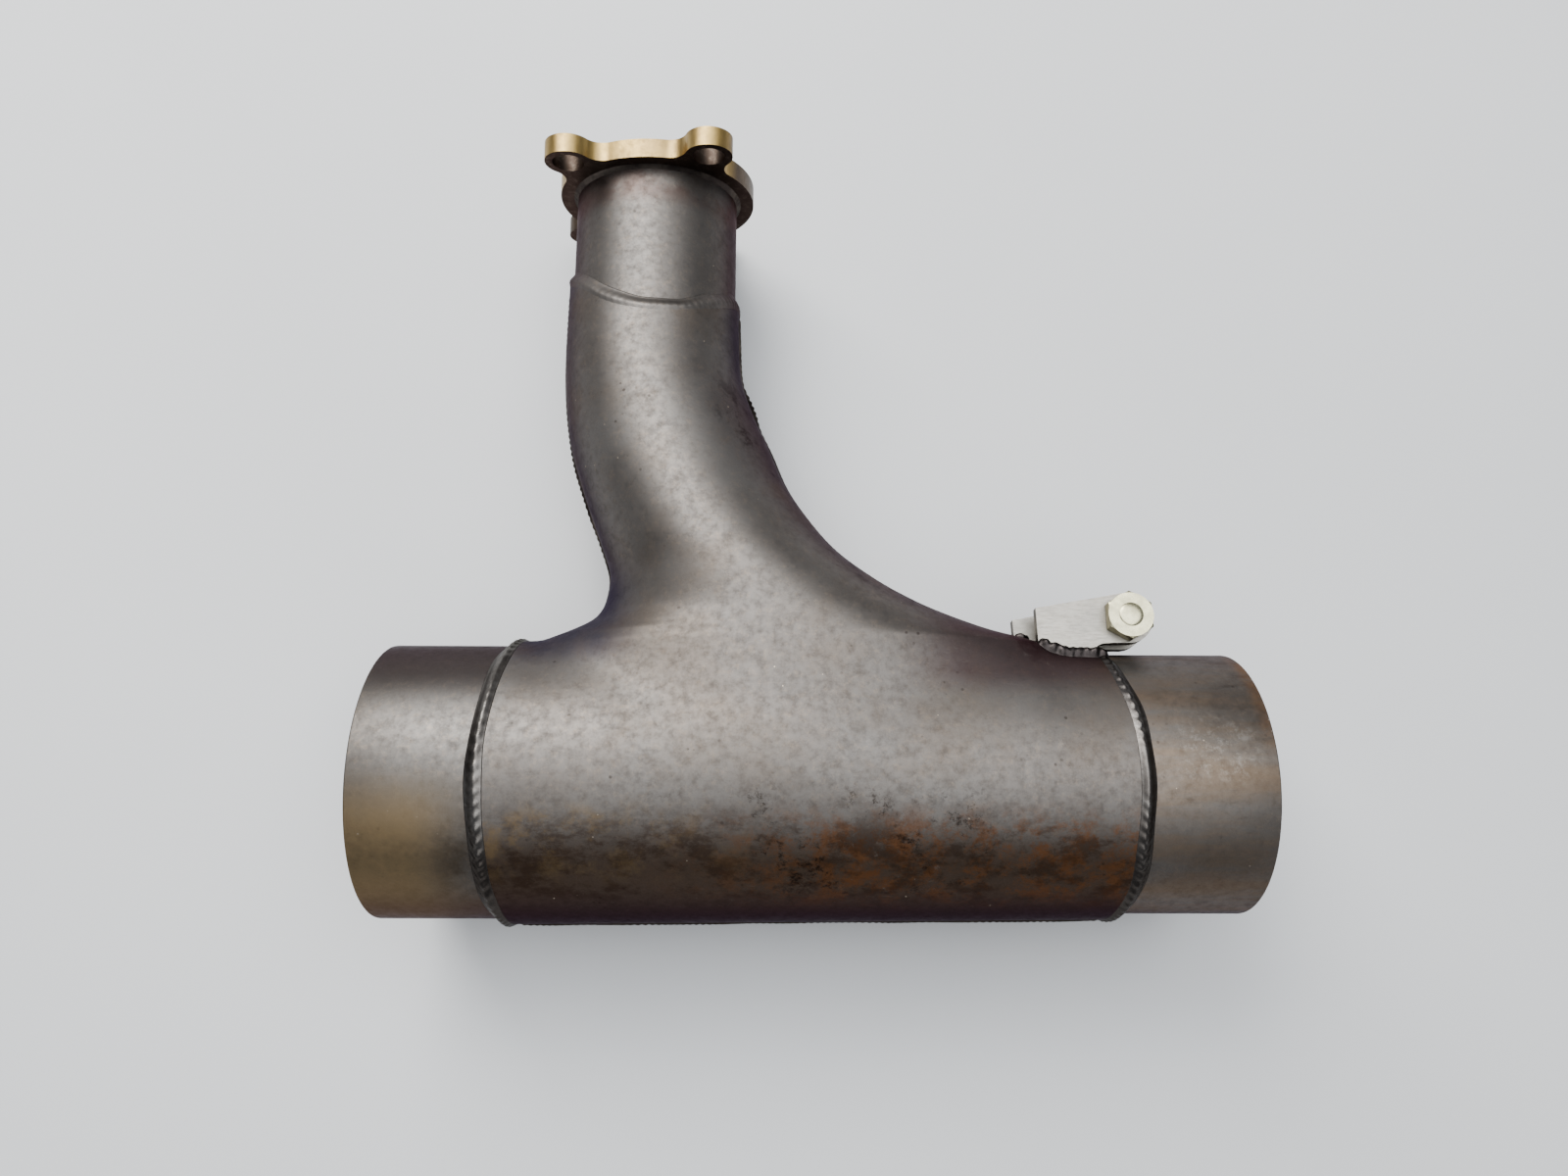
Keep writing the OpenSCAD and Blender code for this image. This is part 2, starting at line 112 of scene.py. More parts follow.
def end_x1(y):
    return X1 - np.where(y > 0, EDGE_SWEEP, EDGE_TUCK) * (y / R1) ** 2


def rim(y, t, outside):
    """Where the riser's flank meets the seam plane, between its middle and a place outside it."""
    y = np.asarray(y, float)
    a = (curve(OUTER_EDGE, y) + curve(INNER_EDGE, y)) / 2
    b = np.full_like(a, outside)
    for _ in range(26):
        m = (a + b) / 2
        inside = height_sq(m, y, t) > 0
        a, b = np.where(inside, m, a), np.where(inside, b, m)
    return (a + b) / 2


def rim_x0(y, t=0.0):
    return rim(y, t, X0 + EDGE_BOW)


def rim_x1(y, t=0.0):
    return rim(y, t, X1 - EDGE_SWEEP)


# ---------------------------------------------------------------- mesh helpers
def make(name, verts, faces, materials, node, slot, body="tee", face_mats=None, sharp=None):
    """A named piece from vertices in mm, in place of a node of the part."""
    mesh = bpy.data.meshes.new(name)
    mesh.from_pydata([tuple(float(c) * MM for c in v) for v in verts], [],
                     [tuple(int(i) for i in f) for f in faces])
    mesh.validate()
    for m in materials:
        mesh.materials.append(m)
    if face_mats is not None:
        mesh.polygons.foreach_set("material_index", np.asarray(face_mats, dtype=np.int32))
    mesh.polygons.foreach_set("use_smooth", [True] * len(mesh.polygons))
    if sharp:
        mesh.set_sharp_from_angle(angle=math.radians(sharp))
    obj = bpy.data.objects.new(name, mesh)
    bpy.context.scene.collection.objects.link(obj)
    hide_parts(node)
    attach(obj, body)
    return obj


def fix_outside(obj):
    """Turns a closed mesh's faces outwards."""
    bm = bmesh.new()
    bm.from_mesh(obj.data)
    bmesh.ops.recalc_face_normals(bm, faces=bm.faces)
    bm.to_mesh(obj.data)
    bm.free()


def grid_faces(rows, cols, close_rows=False, close_cols=True, flip=False, start=0):
    """Quads between rows of points, numbered from start."""
    faces = []
    for j in range(rows if close_rows else rows - 1):
        for i in range(cols if close_cols else cols - 1):
            a, b = start + j * cols + i, start + j * cols + (i + 1) % cols
            c, d = start + ((j + 1) % rows) * cols + (i + 1) % cols, start + ((j + 1) % rows) * cols + i
            faces.append((a, d, c, b) if flip else (a, b, c, d))
    return faces


def axes_of(axis):
    """Two unit vectors across an axis, with the first along X where it can be."""
    axis = np.asarray(axis, float) / np.linalg.norm(axis)
    first = np.array([1.0, 0, 0]) if abs(axis[0]) < 0.9 else np.array([0, 1.0, 0])
    first -= axis * first.dot(axis)
    first /= np.linalg.norm(first)
    return first, np.cross(axis, first), axis


def lathe(origin, axis, profile, count=160, closed=True, radius=None):
    """Rings of points round an axis. profile is (radius, place) pairs, and radius(theta, r, z) may
    change them."""
    u, v, w = axes_of(axis)
    theta = np.arange(count) * 2 * math.pi / count
    rings = []
    for r, z in profile:
        rr = np.full(count, float(r)) if radius is None else radius(theta, r, z)
        across = np.outer(rr * np.cos(theta), u) + np.outer(rr * np.sin(theta), v)
        rings.append(np.asarray(origin) + across + z * w)
    verts = np.concatenate(rings)
    return verts, grid_faces(len(profile), count, close_rows=closed)


def rounded(points, r, steps=3):
    """A closed profile with its corners rounded."""
    out = []
    n = len(points)
    for i in range(n):
        a, b, c = (np.array(points[(i + k) % n], float) for k in (-1, 0, 1))
        ra = min(r, np.linalg.norm(a - b) / 2.2)
        rc = min(r, np.linalg.norm(c - b) / 2.2)
        p, q = b + (a - b) / np.linalg.norm(a - b) * ra, b + (c - b) / np.linalg.norm(c - b) * rc
        for k in range(steps + 1):
            f = k / steps
            out.append(tuple((1 - f) ** 2 * p + 2 * f * (1 - f) * b + f * f * q))
    return out


def signed_area(loop):
    """Twice the area of a loop, above zero when it runs counter-clockwise."""
    ahead = loop[1:] + loop[:1]
    return sum(a[0] * b[1] - b[0] * a[1] for a, b in zip(loop, ahead))


def plate(name, outline, holes, frame3, depth, materials, bevel, back_mat=0, **kw):
    """A flat plate with holes. frame3 is (origin, u, v, w), and the plate fills w from 0 to depth. Its
    front has the first material, its outer side the second, its back and its holes back_mat."""
    origin, u, v, w = frame3
    loops = [list(outline)] + [list(h) for h in holes]
    flat = [p for loop in loops for p in loop]
    n = len(flat)
    tris = tessellate_polygon([[Vector((p[0], p[1], 0)) for p in loop] for loop in loops])
    pts = np.array(flat)
    base = np.asarray(origin) + np.outer(pts[:, 0], u) + np.outer(pts[:, 1], v)
    verts = np.concatenate([base, base + np.asarray(w) * depth])
    faces, mats = [], []
    for t in tris:
        p = pts[list(t)]
        if np.cross(p[1] - p[0], p[2] - p[0]) < 0:
            t = (t[0], t[2], t[1])
        faces += [(t[2], t[1], t[0]), (t[0] + n, t[1] + n, t[2] + n)]
        mats += [back_mat, 0]
    start = 0
    for k, loop in enumerate(loops):
        m = len(loop)
        turn = signed_area(loop) > 0 if k == 0 else signed_area(loop) < 0
        for i in range(m):
            a, b = start + i, start + (i + 1) % m
            faces.append((a, b, b + n, a + n) if turn else (b, a, a + n, b + n))
            mats.append(1 if k == 0 else back_mat)
        start += m
    obj = make(name, verts, faces, materials, face_mats=mats, sharp=35, **kw)
    mod = obj.modifiers.new("edges", "BEVEL")
    mod.width = bevel * MM
    mod.segments = 3
    mod.limit_method = "ANGLE"
    mod.angle_limit = math.radians(50)
    mod.harden_normals = True


def arc(centre, r, start, end, steps):
    """Points on an arc, without its last one."""
    turns = [start + (end - start) * k / steps for k in range(steps)]
    return [(centre[0] + r * math.cos(t), centre[1] + r * math.sin(t)) for t in turns]


def circle(cx, cy, r, count):
    return arc((cx, cy), r, 0, 2 * math.pi, count)


def lengths_along(points):
    return np.concatenate([[0], np.cumsum(np.linalg.norm(np.diff(points, axis=0), axis=1))])


def resample(points, step):
    """The same path with points about step mm apart."""
    points = np.asarray(points, float)
    d = lengths_along(points)
    s = np.linspace(0, d[-1], max(4, int(round(d[-1] / step))) + 1)
    return np.stack([np.interp(s, d, points[:, k]) for k in range(3)], axis=1)


def wobble(s, length, amount, seed, closed):
    """Soft random change along a bead."""
    rng = np.random.default_rng(seed)
    out = np.zeros_like(s)
    for k in range(1, 7):
        waves = (k * 2 + 1) if closed else k * 1.7
        out += rng.normal() / math.sqrt(k) * np.sin(2 * math.pi * waves * s / length + rng.uniform(0, 6.28))
    return out * amount


BEAD_STEP, BEAD_COLS = 0.36, 19


def bead(name, path, normals, width, height, material, pitch, ripple, seed, sink=0.35, closed=False,
         lump=None, fade=None, climb=0.0, **kw):
    """A rope of weld metal with crescent ripples, swept along a path that lies on the metal. climb is the
    step from one side of the bead up to the other, with the sign of the side that is higher. lump and
    fade change the height and the ripples along the bead, from 0 at its start to 1 at its end."""
    path, normals = np.asarray(path, float), np.asarray(normals, float)
    if closed:
        path, normals = np.vstack([path, path[:1]]), np.vstack([normals, normals[:1]])
    d = lengths_along(path)
    length = d[-1]
    n = max(12, int(length / BEAD_STEP))
    s = np.linspace(0, length, n, endpoint=not closed)
    p = np.stack([np.interp(s, d, path[:, k]) for k in range(3)], axis=1)
    nr = np.stack([np.interp(s, d, normals[:, k]) for k in range(3)], axis=1)
    nr /= np.linalg.norm(nr, axis=1)[:, None]
    tan = (np.roll(p, -1, axis=0) - np.roll(p, 1, axis=0)) if closed else np.gradient(p, axis=0)
    side = np.cross(tan, nr)
    side /= np.linalg.norm(side, axis=1)[:, None]
    p = p + side * wobble(s, length, width * 0.035, seed + 5, closed)[:, None]
    laps = round(length / pitch) if closed else length / pitch
    phase = s / length * laps + wobble(s, length, 0.16, seed, closed)
    wide = 1 + wobble(s, length, 0.05, seed + 1, closed)
    tall = 1 + wobble(s, length, 0.08, seed + 2, closed)
    strength = np.clip(0.75 + wobble(s, length, 0.35, seed + 3, closed), 0.1, 1.3)
    if fade is not None:
        strength = strength * fade(s / length)
    if lump is not None:
        tall = tall + lump(s / length)
    if not closed:
        end = np.clip(np.minimum(s, length - s) / (width * 0.7), 0, 1)
        taper = np.sqrt(1 - (1 - end) ** 2) * 0.98 + 0.02
        wide, tall = wide * (0.35 + 0.65 * taper), tall * taper
    rings = []
    for u in np.linspace(-1, 1, BEAD_COLS):
        dome = math.cos(math.pi * u / 2) ** 1.4
        foot = abs(climb) * float(smooth(-1.0, 0.4, u * math.copysign(1, climb)))
        scale = 0.5 - 0.5 * np.cos(2 * math.pi * (phase + 0.42 * u * u))
        h = height * tall * dome * (1 - ripple * strength * (1 - scale))
        rings.append(p + side * (u * width / 2 * wide)[:, None] + nr * (h + foot)[:, None])
    root = sink * np.ones(n) if closed else sink * tall
    for u in (0.6, -0.6):
        rings.append(p + side * (u * width / 2 * wide)[:, None] - nr * root[:, None])
    cols = len(rings)
    verts = np.stack(rings, axis=1).reshape(-1, 3)
    faces = grid_faces(n, cols, close_rows=closed)
    if not closed:
        faces.append(tuple(range(cols - 1, -1, -1)))
        faces.append(tuple(range((n - 1) * cols, n * cols)))
    fix_outside(make(name, verts, faces, [material], **kw))


# ---------------------------------------------------------------- materials
class Nodes:
    """A few short words for building a node material."""

    def __init__(self, name):
        self.mat = bpy.data.materials.new(name)
        self.mat.use_nodes = True
        self.nt = self.mat.node_tree
        self.bsdf = next(n for n in self.nt.nodes if n.type == "BSDF_PRINCIPLED")
        coord = self.nt.nodes.new("ShaderNodeTexCoord")
        self.p = coord.outputs["Object"]
        sep = self.nt.nodes.new("ShaderNodeSeparateXYZ")
        self.link(self.p, sep.inputs[0])
        self.x, self.y, self.z = (self.op("MULTIPLY", sep.outputs[k], 1000.0) for k in range(3))

    def link(self, a, b):
        self.nt.links.new(a, b)

    def put(self, value, socket):
        if hasattr(value, "is_output"):
            self.link(value, socket)
        elif isinstance(value, (tuple, list)) and len(value) == 3 and socket.type == "RGBA":
            socket.default_value = (*value, 1)
        else:
            socket.default_value = value

    def op(self, kind, a, b=0.0):
        n = self.nt.nodes.new("ShaderNodeMath")
        n.operation = kind
        self.put(a, n.inputs[0])
        self.put(b, n.inputs[1])
        return n.outputs[0]

    def step(self, v, lo, hi, a=0.0, b=1.0):
        n = self.nt.nodes.new("ShaderNodeMapRange")
        n.interpolation_type = "SMOOTHSTEP"
        for k, val in zip(("Value", "From Min", "From Max", "To Min", "To Max"), (v, lo, hi, a, b)):
            self.put(val, n.inputs[k])
        return n.outputs["Result"]

    def noise(self, scale, detail=5.0, rough=0.6, stretch=(1, 1, 1), shift=0.0, distort=0.0):
        m = self.nt.nodes.new("ShaderNodeMapping")
        self.link(self.p, m.inputs["Vector"])
        m.inputs["Scale"].default_value = stretch
        m.inputs["Location"].default_value = (shift, shift * 0.7, shift * 1.3)
        n = self.nt.nodes.new("ShaderNodeTexNoise")
        self.link(m.outputs[0], n.inputs["Vector"])
        n.inputs["Scale"].default_value = scale
        n.inputs["Detail"].default_value = detail
        n.inputs["Roughness"].default_value = rough
        n.inputs["Distortion"].default_value = distort
        return n.outputs[0]

    def cells(self, scale, shift=0.0):
        m = self.nt.nodes.new("ShaderNodeMapping")
        self.link(self.p, m.inputs["Vector"])
        m.inputs["Location"].default_value = (shift, shift, shift)
        n = self.nt.nodes.new("ShaderNodeTexVoronoi")
        self.link(m.outputs[0], n.inputs["Vector"])
        n.inputs["Scale"].default_value = scale
        return n.outputs["Distance"]

    def mix(self, f, a, b):
        n = self.nt.nodes.new("ShaderNodeMix")
        n.data_type = "RGBA"
        self.put(f, n.inputs["Factor"])
        self.put(a, n.inputs[6])
        self.put(b, n.inputs[7])
        return n.outputs[2]

    def bump(self, height, strength, distance, under=None):
        n = self.nt.nodes.new("ShaderNodeBump")
        n.inputs["Strength"].default_value = strength
        n.inputs["Distance"].default_value = distance * MM
        self.link(height, n.inputs["Height"])
        if under is not None:
            self.link(under, n.inputs["Normal"])
        return n.outputs[0]

    def done(self, color, rough, normal, metallic=1.0, edge=(0.45, 0.42, 0.45)):
        self.put(color, self.bsdf.inputs["Base Color"])
        self.put(rough, self.bsdf.inputs["Roughness"])
        self.put(metallic, self.bsdf.inputs["Metallic"])
        self.put(edge, self.bsdf.inputs["Specular Tint"])
        self.link(normal, self.bsdf.inputs["Normal"])
        return self.mat

    def near(self, v, centre, half, soft):
        """1 within half of centre, 0 beyond half + soft."""
        d = self.op("ABSOLUTE", self.op("SUBTRACT", v, centre))
        return self.step(d, half, half + soft, 1.0, 0.0)

    def times(self, *vs):
        out = vs[0]
        for v in vs[1:]:
            out = self.op("MULTIPLY", out, v)
        return out


def tinted(name, base, grey, zones=None, rough=0.42, spots=0.5):
    """Heat-tinted satin steel: soft mottling, specks, fine scratches, and whatever bands zones adds."""
    n = Nodes(name)
    broad = n.noise(26, 4, 0.55, shift=1.3)
    fine = n.noise(400, 8, 0.75, shift=3.1)
    grain = n.noise(900, 4, 0.7, shift=5.2)
    color = n.mix(n.step(broad, 0.36, 0.66), base, grey)
    color = n.mix(n.step(fine, 0.40, 0.75, 0.0, 0.7), color, n.mix(0.5, color, (0.030, 0.020, 0.014)))
    speckle = n.step(n.noise(520, 6, 0.8, shift=51.0), 0.50, 0.66)
    color = n.mix(n.times(speckle, 0.35), color, (0.21, 0.17, 0.135))
    if zones:
        color = zones(n, color)
    dots = n.step(n.cells(330, 2.2), 0.10, 0.16, 1.0, 0.0)
    patch = n.step(n.noise(75, 5, 0.7, shift=8.4), 0.50, 0.66)
    color = n.mix(n.times(dots, patch, spots), color, (0.016, 0.010, 0.007))
    clump = n.step(n.noise(60, 2, 0.5, shift=2.7), 0.52, 0.6)
    pale = n.times(n.step(n.cells(240, 6.1), 0.03, 0.055, 1.0, 0.0), clump)
    color = n.mix(pale, color, (0.40, 0.34, 0.27))
    scratch = n.step(n.noise(50, 2, 0.5, stretch=(1, 14, 8), shift=4.4, distort=1.6), 0.70, 0.74)
    scratch2 = n.step(n.noise(45, 2, 0.5, stretch=(15, 5, 9), shift=9.4, distort=2.2), 0.71, 0.75)
    marks = n.op("MAXIMUM", scratch, scratch2)
    color = n.mix(n.times(marks, 0.10), color, (0.24, 0.21, 0.19))
    r = n.op("ADD", n.step(fine, 0.3, 0.8, rough - 0.07, rough + 0.12), n.step(broad, 0.3, 0.7, -0.03, 0.05))
    bump = n.bump(n.noise(34, 2, 0.5, shift=6.6), 0.35, 0.35)
    bump = n.bump(grain, 0.22, 0.05, bump)
    bump = n.bump(fine, 0.30, 0.07, bump)
    return n.done(color, r, bump)


# In the zones below, places are mm in the part's frame, as in n.step(n.y, from, to)
def shell_zones(n, color):
    """Brown, rust and char along the lower flank, blue and plum by the seam welds, bronze above, and painted
    shade: dark blue on the sides near the seam plane, a shadow on the riser's right flank, near black
    underneath.
    """
    side_z = n.op("ABSOLUTE", n.z)
    low = n.step(n.y, -8.0, -21.0)
    color = n.mix(n.times(low, 0.8), color, (0.074, 0.046, 0.029))
    band = n.times(n.step(n.y, -4.0, -15.0), n.step(n.y, -33.0, -25.0))
    rust = n.times(n.step(n.x, 62.0, 120.0), n.step(n.noise(150, 8, 0.8, shift=12.5), 0.44, 0.60))
    color = n.mix(n.times(band, rust, 0.85), color, (0.150, 0.064, 0.026))
    umber = n.step(n.noise(95, 7, 0.75, stretch=(0.8, 1.3, 1.3), shift=41.0), 0.46, 0.60)
    color = n.mix(n.times(band, umber, 0.62), color, (0.038, 0.021, 0.013))
    char = n.times(n.step(n.noise(330, 8, 0.85, shift=17.0), 0.52, 0.60),
                   n.step(n.noise(55, 4, 0.6, shift=44.0), 0.44, 0.58),
                   n.near(n.x, 114.0, 20.0, 34.0), n.near(n.y, -15.0, 8.0, 8.0))
    color = n.mix(n.times(char, 0.85), color, (0.012, 0.008, 0.006))
    # Painted shade and a painted blue reflection on the sides near the seam plane, where the shell turns away
    # from the light
    side_shade_blue = n.step(side_z, 20.0, 6.0)
    color = n.mix(n.times(side_shade_blue, 0.85), color, (0.018, 0.013, 0.022))
    # Painted shadow: purplish dark on the riser's right flank beside the neck, away from the light, with
    # darker mottling in it
    flank = n.times(n.step(n.x, 76.0, 84.0), n.near(n.y, 62.0, 32.0, 20.0), n.step(side_z, 27.0, 16.0))
    color = n.mix(n.times(flank, 0.6), color, (0.040, 0.024, 0.026))
    flank_shadow_mottle = n.times(flank, n.step(n.noise(120, 6, 0.75, shift=52.0), 0.52, 0.64))
    color = n.mix(n.times(flank_shadow_mottle, 0.7), color, (0.014, 0.009, 0.009))
    rim_blue = n.times(n.near(n.x, 47.0, 8.0, 14.0), n.step(n.y, 25.0, 33.0), n.step(n.y, 58.0, 46.0))
    color = n.mix(n.times(rim_blue, 0.7), color, (0.016, 0.016, 0.036))
    plum = n.times(n.near(n.x, 168.0, 20.0, 22.0), n.near(n.y, 31.0, 5.0, 8.0))
    color = n.mix(n.times(plum, 0.62), color, (0.046, 0.020, 0.022))
    gold = n.times(n.near(n.y, -15.0, 4.0, 7.0), n.step(n.noise(90, 6, 0.75, shift=21.0), 0.45, 0.65),
                   n.step(n.x, 110.0, 45.0))
    color = n.mix(n.times(gold, 0.6), color, (0.20, 0.135, 0.065))
    freckle = n.times(n.step(n.noise(300, 6, 0.85, shift=31.0), 0.58, 0.70),
                      n.step(n.noise(36, 3, 0.6, shift=33.0), 0.46, 0.6), n.step(n.y, 45.0, 34.0))
    color = n.mix(n.times(freckle, 0.30), color, (0.25, 0.225, 0.20))
    bronze = n.times(n.step(n.noise(38, 4, 0.6, shift=61.0), 0.46, 0.66), n.step(n.y, -8.0, 4.0))
    color = n.mix(n.times(bronze, 0.26), color, (0.105, 0.074, 0.048))
    # Painted shade: near black underneath, on the side turned away from the light
    under = n.step(n.y, -23.0, -33.0)
    return n.mix(n.times(under, 0.8), color, (0.024, 0.017, 0.019))


def sleeve_zones(n, color):
    """Gold at the open end below the middle, a dark band above, a band of painted shade below, a stain by the
    bead, and painted bluish shade on the sides.
    """
    gold = n.times(n.step(n.y, 4.0, -14.0), n.step(n.x, 32.0, 12.0))
    color = n.mix(n.times(gold, 0.80), color, (0.255, 0.180, 0.090))
    # Painted shade: a dark band on the underside, turned away from the light
    color = n.mix(n.times(n.step(n.y, -22.0, -32.0), 0.7), color, (0.060, 0.042, 0.032))
    color = n.mix(n.times(n.step(n.y, 17.0, 26.0), 0.75), color, (0.046, 0.036, 0.034))
    stain = n.times(n.near(n.y, -20.0, 6.0, 8.0), n.step(n.x, 16.0, 28.0),
                    n.step(n.noise(60, 5, 0.7, shift=16.0), 0.42, 0.62))
    color = n.mix(n.times(stain, 0.7), color, (0.060, 0.042, 0.026))
    # Painted shade: dark bluish on the sides, where the tube turns away from the light
    return n.mix(n.step(n.op("ABSOLUTE", n.z), 12.0, 3.0, 0.0, 0.75), color, (0.022, 0.019, 0.028))


def spigot_zones(n, color):
    """Brown and dark streaks along the tube, a rusty end, a painted pale highlight patch near it, and painted
    bluish shade on the sides.
    """
    streak = n.step(n.noise(26, 6, 0.65, stretch=(0.35, 2.2, 2.2), shift=14.0), 0.42, 0.64)
    color = n.mix(n.times(streak, 0.55), color, (0.165, 0.110, 0.066))
    dark = n.step(n.noise(30, 6, 0.7, stretch=(0.6, 1.6, 1.6), shift=19.0), 0.52, 0.64)
    color = n.mix(n.times(dark, 0.6), color, (0.035, 0.026, 0.020))
    rusty = n.times(n.step(n.x, 214.0, 217.6), n.near(n.y, 20.0, 8.0, 8.0),
                    n.step(n.noise(150, 5, 0.7, shift=29.0), 0.30, 0.60))
    color = n.mix(n.times(rusty, 0.55), color, (0.22, 0.12, 0.060))
    # Painted highlight: pale speckles on the crest near the end, where the light catches the tube
    painted_highlight_patch = n.times(n.step(n.noise(300, 8, 0.8, shift=24.0), 0.48, 0.66), n.near(n.x, 204.0, 4.0, 9.0),
                    n.near(n.y, 7.0, 3.0, 8.0))
    color = n.mix(n.times(painted_highlight_patch, 0.45), color, (0.34, 0.32, 0.29))
    # Painted shade: dark bluish on the sides, where the tube turns away from the light
    return n.mix(n.step(n.op("ABSOLUTE", n.z), 13.0, 3.0, 0.0, 0.7), color, (0.024, 0.019, 0.024))


def neck_zones(n, color):
    """Painted shade on the sides, and a brown ring next to the flange."""
    # Painted shade: dark on the sides, where the tube turns away from the light
    side = n.step(n.op("ABSOLUTE", n.z), 18.0, 7.0)
    color = n.mix(n.times(side, 0.72), color, (0.036, 0.022, 0.024))
    heel = n.times(n.near(n.y, 161.0, 3.0, 6.0), n.step(n.noise(60, 5, 0.65, shift=15.0), 0.38, 0.6))
    return n.mix(n.times(heel, 0.55), color, (0.075, 0.042, 0.034))


def plain_metal(name, base, second, rough, grain_stretch, bump_mm, spots=0.25, stain=None):
    """Brushed metal with a few dark dots. stain, where given, paints shade: dark brown from one Z to another,
    and near the spigot side of the flange."""
    n = Nodes(name)
    broad = n.noise(70, 5, 0.6, shift=2.0)
    brushed = n.noise(420, 5, 0.7, stretch=grain_stretch, shift=7.0)
    color = n.mix(n.step(broad, 0.35, 0.68), base, second)
    color = n.mix(n.step(brushed, 0.35, 0.75, 0.0, 0.4), color, n.mix(0.5, color, (0.05, 0.045, 0.035)))
    if stain:
        # Painted shade: dark brown below one Z and on the spigot side of the flange, where the rim turns away
        # from the light
        shade = n.op("MAXIMUM", n.step(n.z, *stain), n.step(n.x, 85.0, 88.5))
        brown = n.mix(n.step(broad, 0.4, 0.6), (0.030, 0.024, 0.026), (0.060, 0.042, 0.032))
        color = n.mix(n.times(shade, 0.92), color, brown)
    clump = n.step(n.noise(160, 3, 0.6, shift=5.0), 0.52, 0.62)
    dots = n.times(n.step(n.cells(700, 3.0), 0.08, 0.14, 1.0, 0.0), clump)
    color = n.mix(n.times(dots, spots), color, (0.05, 0.035, 0.02))
    r = n.step(brushed, 0.3, 0.75, rough - 0.06, rough + 0.12)
    return n.done(color, r, n.bump(brushed, 0.5, bump_mm), edge=(0.8, 0.8, 0.8))


def weld_metal(name, dark, light, glint_strength=0.25):
    """Oxidised weld metal, with painted shade low on the run, darker beside the clevis, and bright spots of
    painted glint.
    """
    n = Nodes(name)
    broad = n.noise(110, 5, 0.65, shift=1.0)
    grit = n.noise(900, 6, 0.75, shift=4.0)
    color = n.mix(n.step(broad, 0.40, 0.66), dark, light)
    color = n.mix(n.step(grit, 0.55, 0.7, 0.0, 0.5), color, (0.02, 0.015, 0.012))
    # Painted shade: darker on the lower side of the run, turned away from the light
    color = n.mix(n.times(n.step(n.y, -8.0, -24.0), 0.72), color, (0.030, 0.024, 0.021))
    by_clevis = n.times(n.step(n.y, 8.0, 24.0), n.step(n.x, 150.0, 170.0))
    color = n.mix(n.times(by_clevis, 0.72), color, (0.030, 0.026, 0.026))
    # Painted glints: bright spots that stand in for highlights on the ripples
    glint_spots = n.step(n.noise(330, 3, 0.6, shift=9.0), 0.70, 0.76)
    color = n.mix(n.times(glint_spots, glint_strength), color, (0.42, 0.40, 0.37))
    r = n.step(grit, 0.3, 0.8, 0.28, 0.54)
    return n.done(color, r, n.bump(grit, 0.5, 0.06), edge=(0.5, 0.5, 0.5))


def soot(name):
    """The dull sooty inside of the tubes."""
    n = Nodes(name)
    cloud = n.noise(60, 7, 0.7, shift=3.0)
    grit = n.noise(800, 6, 0.8, shift=6.0)
    color = n.mix(n.step(cloud, 0.35, 0.7), (0.030, 0.024, 0.020), (0.085, 0.066, 0.052))
    color = n.mix(n.step(grit, 0.5, 0.75, 0.0, 0.6), color, (0.012, 0.010, 0.009))
    rough = n.step(grit, 0.3, 0.8, 0.55, 0.8)
    return n.done(color, rough, n.bump(grit, 0.6, 0.08), metallic=0.35, edge=(0.4, 0.4, 0.4))


M_SHELL = tinted("tinted_shell", (0.126, 0.114, 0.104), (0.146, 0.138, 0.130), shell_zones, 0.50, 0.55)
M_SLEEVE = tinted("tinted_sleeve", (0.106, 0.096, 0.086), (0.128, 0.121, 0.114), sleeve_zones, 0.44, 0.25)
M_SPIGOT = tinted("tinted_spigot", (0.126, 0.113, 0.101), (0.152, 0.144, 0.135), spigot_zones, 0.48, 0.5)
M_NECK = tinted("tinted_neck", (0.122, 0.112, 0.103), (0.140, 0.133, 0.126), neck_zones, 0.50, 0.3)
M_SOOT = soot("sooty_inside")
M_WELD = weld_metal("weld_grey", (0.095, 0.086, 0.079), (0.150, 0.142, 0.133))
M_SEAM = weld_metal("weld_dark", (0.030, 0.024, 0.022), (0.075, 0.062, 0.052))
M_EARWELD = weld_metal("weld_bracket", (0.022, 0.018, 0.016), (0.060, 0.052, 0.048), glint_strength=0.7)
# The flange rim; its stain gives painted shade on the rim's low and spigot-side parts
M_RIM = plain_metal("flange_rim", (0.40, 0.275, 0.095), (0.30, 0.205, 0.085), 0.38, (1, 1, 5), 0.03,
                    stain=(10.0, -4.0))
# The flange's back face and holes: the near-black brown base is painted shade, where they face away from the
# light
M_BACK = tinted("flange_back", (0.050, 0.036, 0.028), (0.070, 0.052, 0.042), None, 0.46, 0.3)
M_FACE = plain_metal("flange_face", (0.22, 0.18, 0.13), (0.14, 0.11, 0.085), 0.42, (1, 1, 1), 0.04)
M_EAR = plain_metal("ear_face", (0.40, 0.375, 0.33), (0.33, 0.315, 0.285), 0.44, (1, 5, 5), 0.03, spots=0.15)
# Painted shade: a dark copy of the ear's steel for its side walls
M_EAR_EDGE_SHADE = plain_metal("ear_edge", (0.10, 0.09, 0.075), (0.17, 0.155, 0.13), 0.42, (1, 1, 4), 0.05)
M_BOLT = plain_metal("bolt_plating", (0.66, 0.62, 0.40), (0.54, 0.51, 0.34), 0.28, (1, 1, 1), 0.02, spots=0.2)
# Painted shade: a dark copy of the bolt plating for the head's hex flats
M_BOLT_FLAT_SHADE = plain_metal("bolt_side", (0.17, 0.155, 0.085), (0.24, 0.22, 0.13), 0.34, (1, 1, 3), 0.03)
M_NUT = plain_metal("nut_plating", (0.40, 0.38, 0.30), (0.30, 0.29, 0.23), 0.34, (1, 1, 2), 0.03)


# ---------------------------------------------------------------- the two half shells
RUN_ROWS, RISER_ROWS, SHELL_COLS = 73, 84, 100
RISER_START = 70


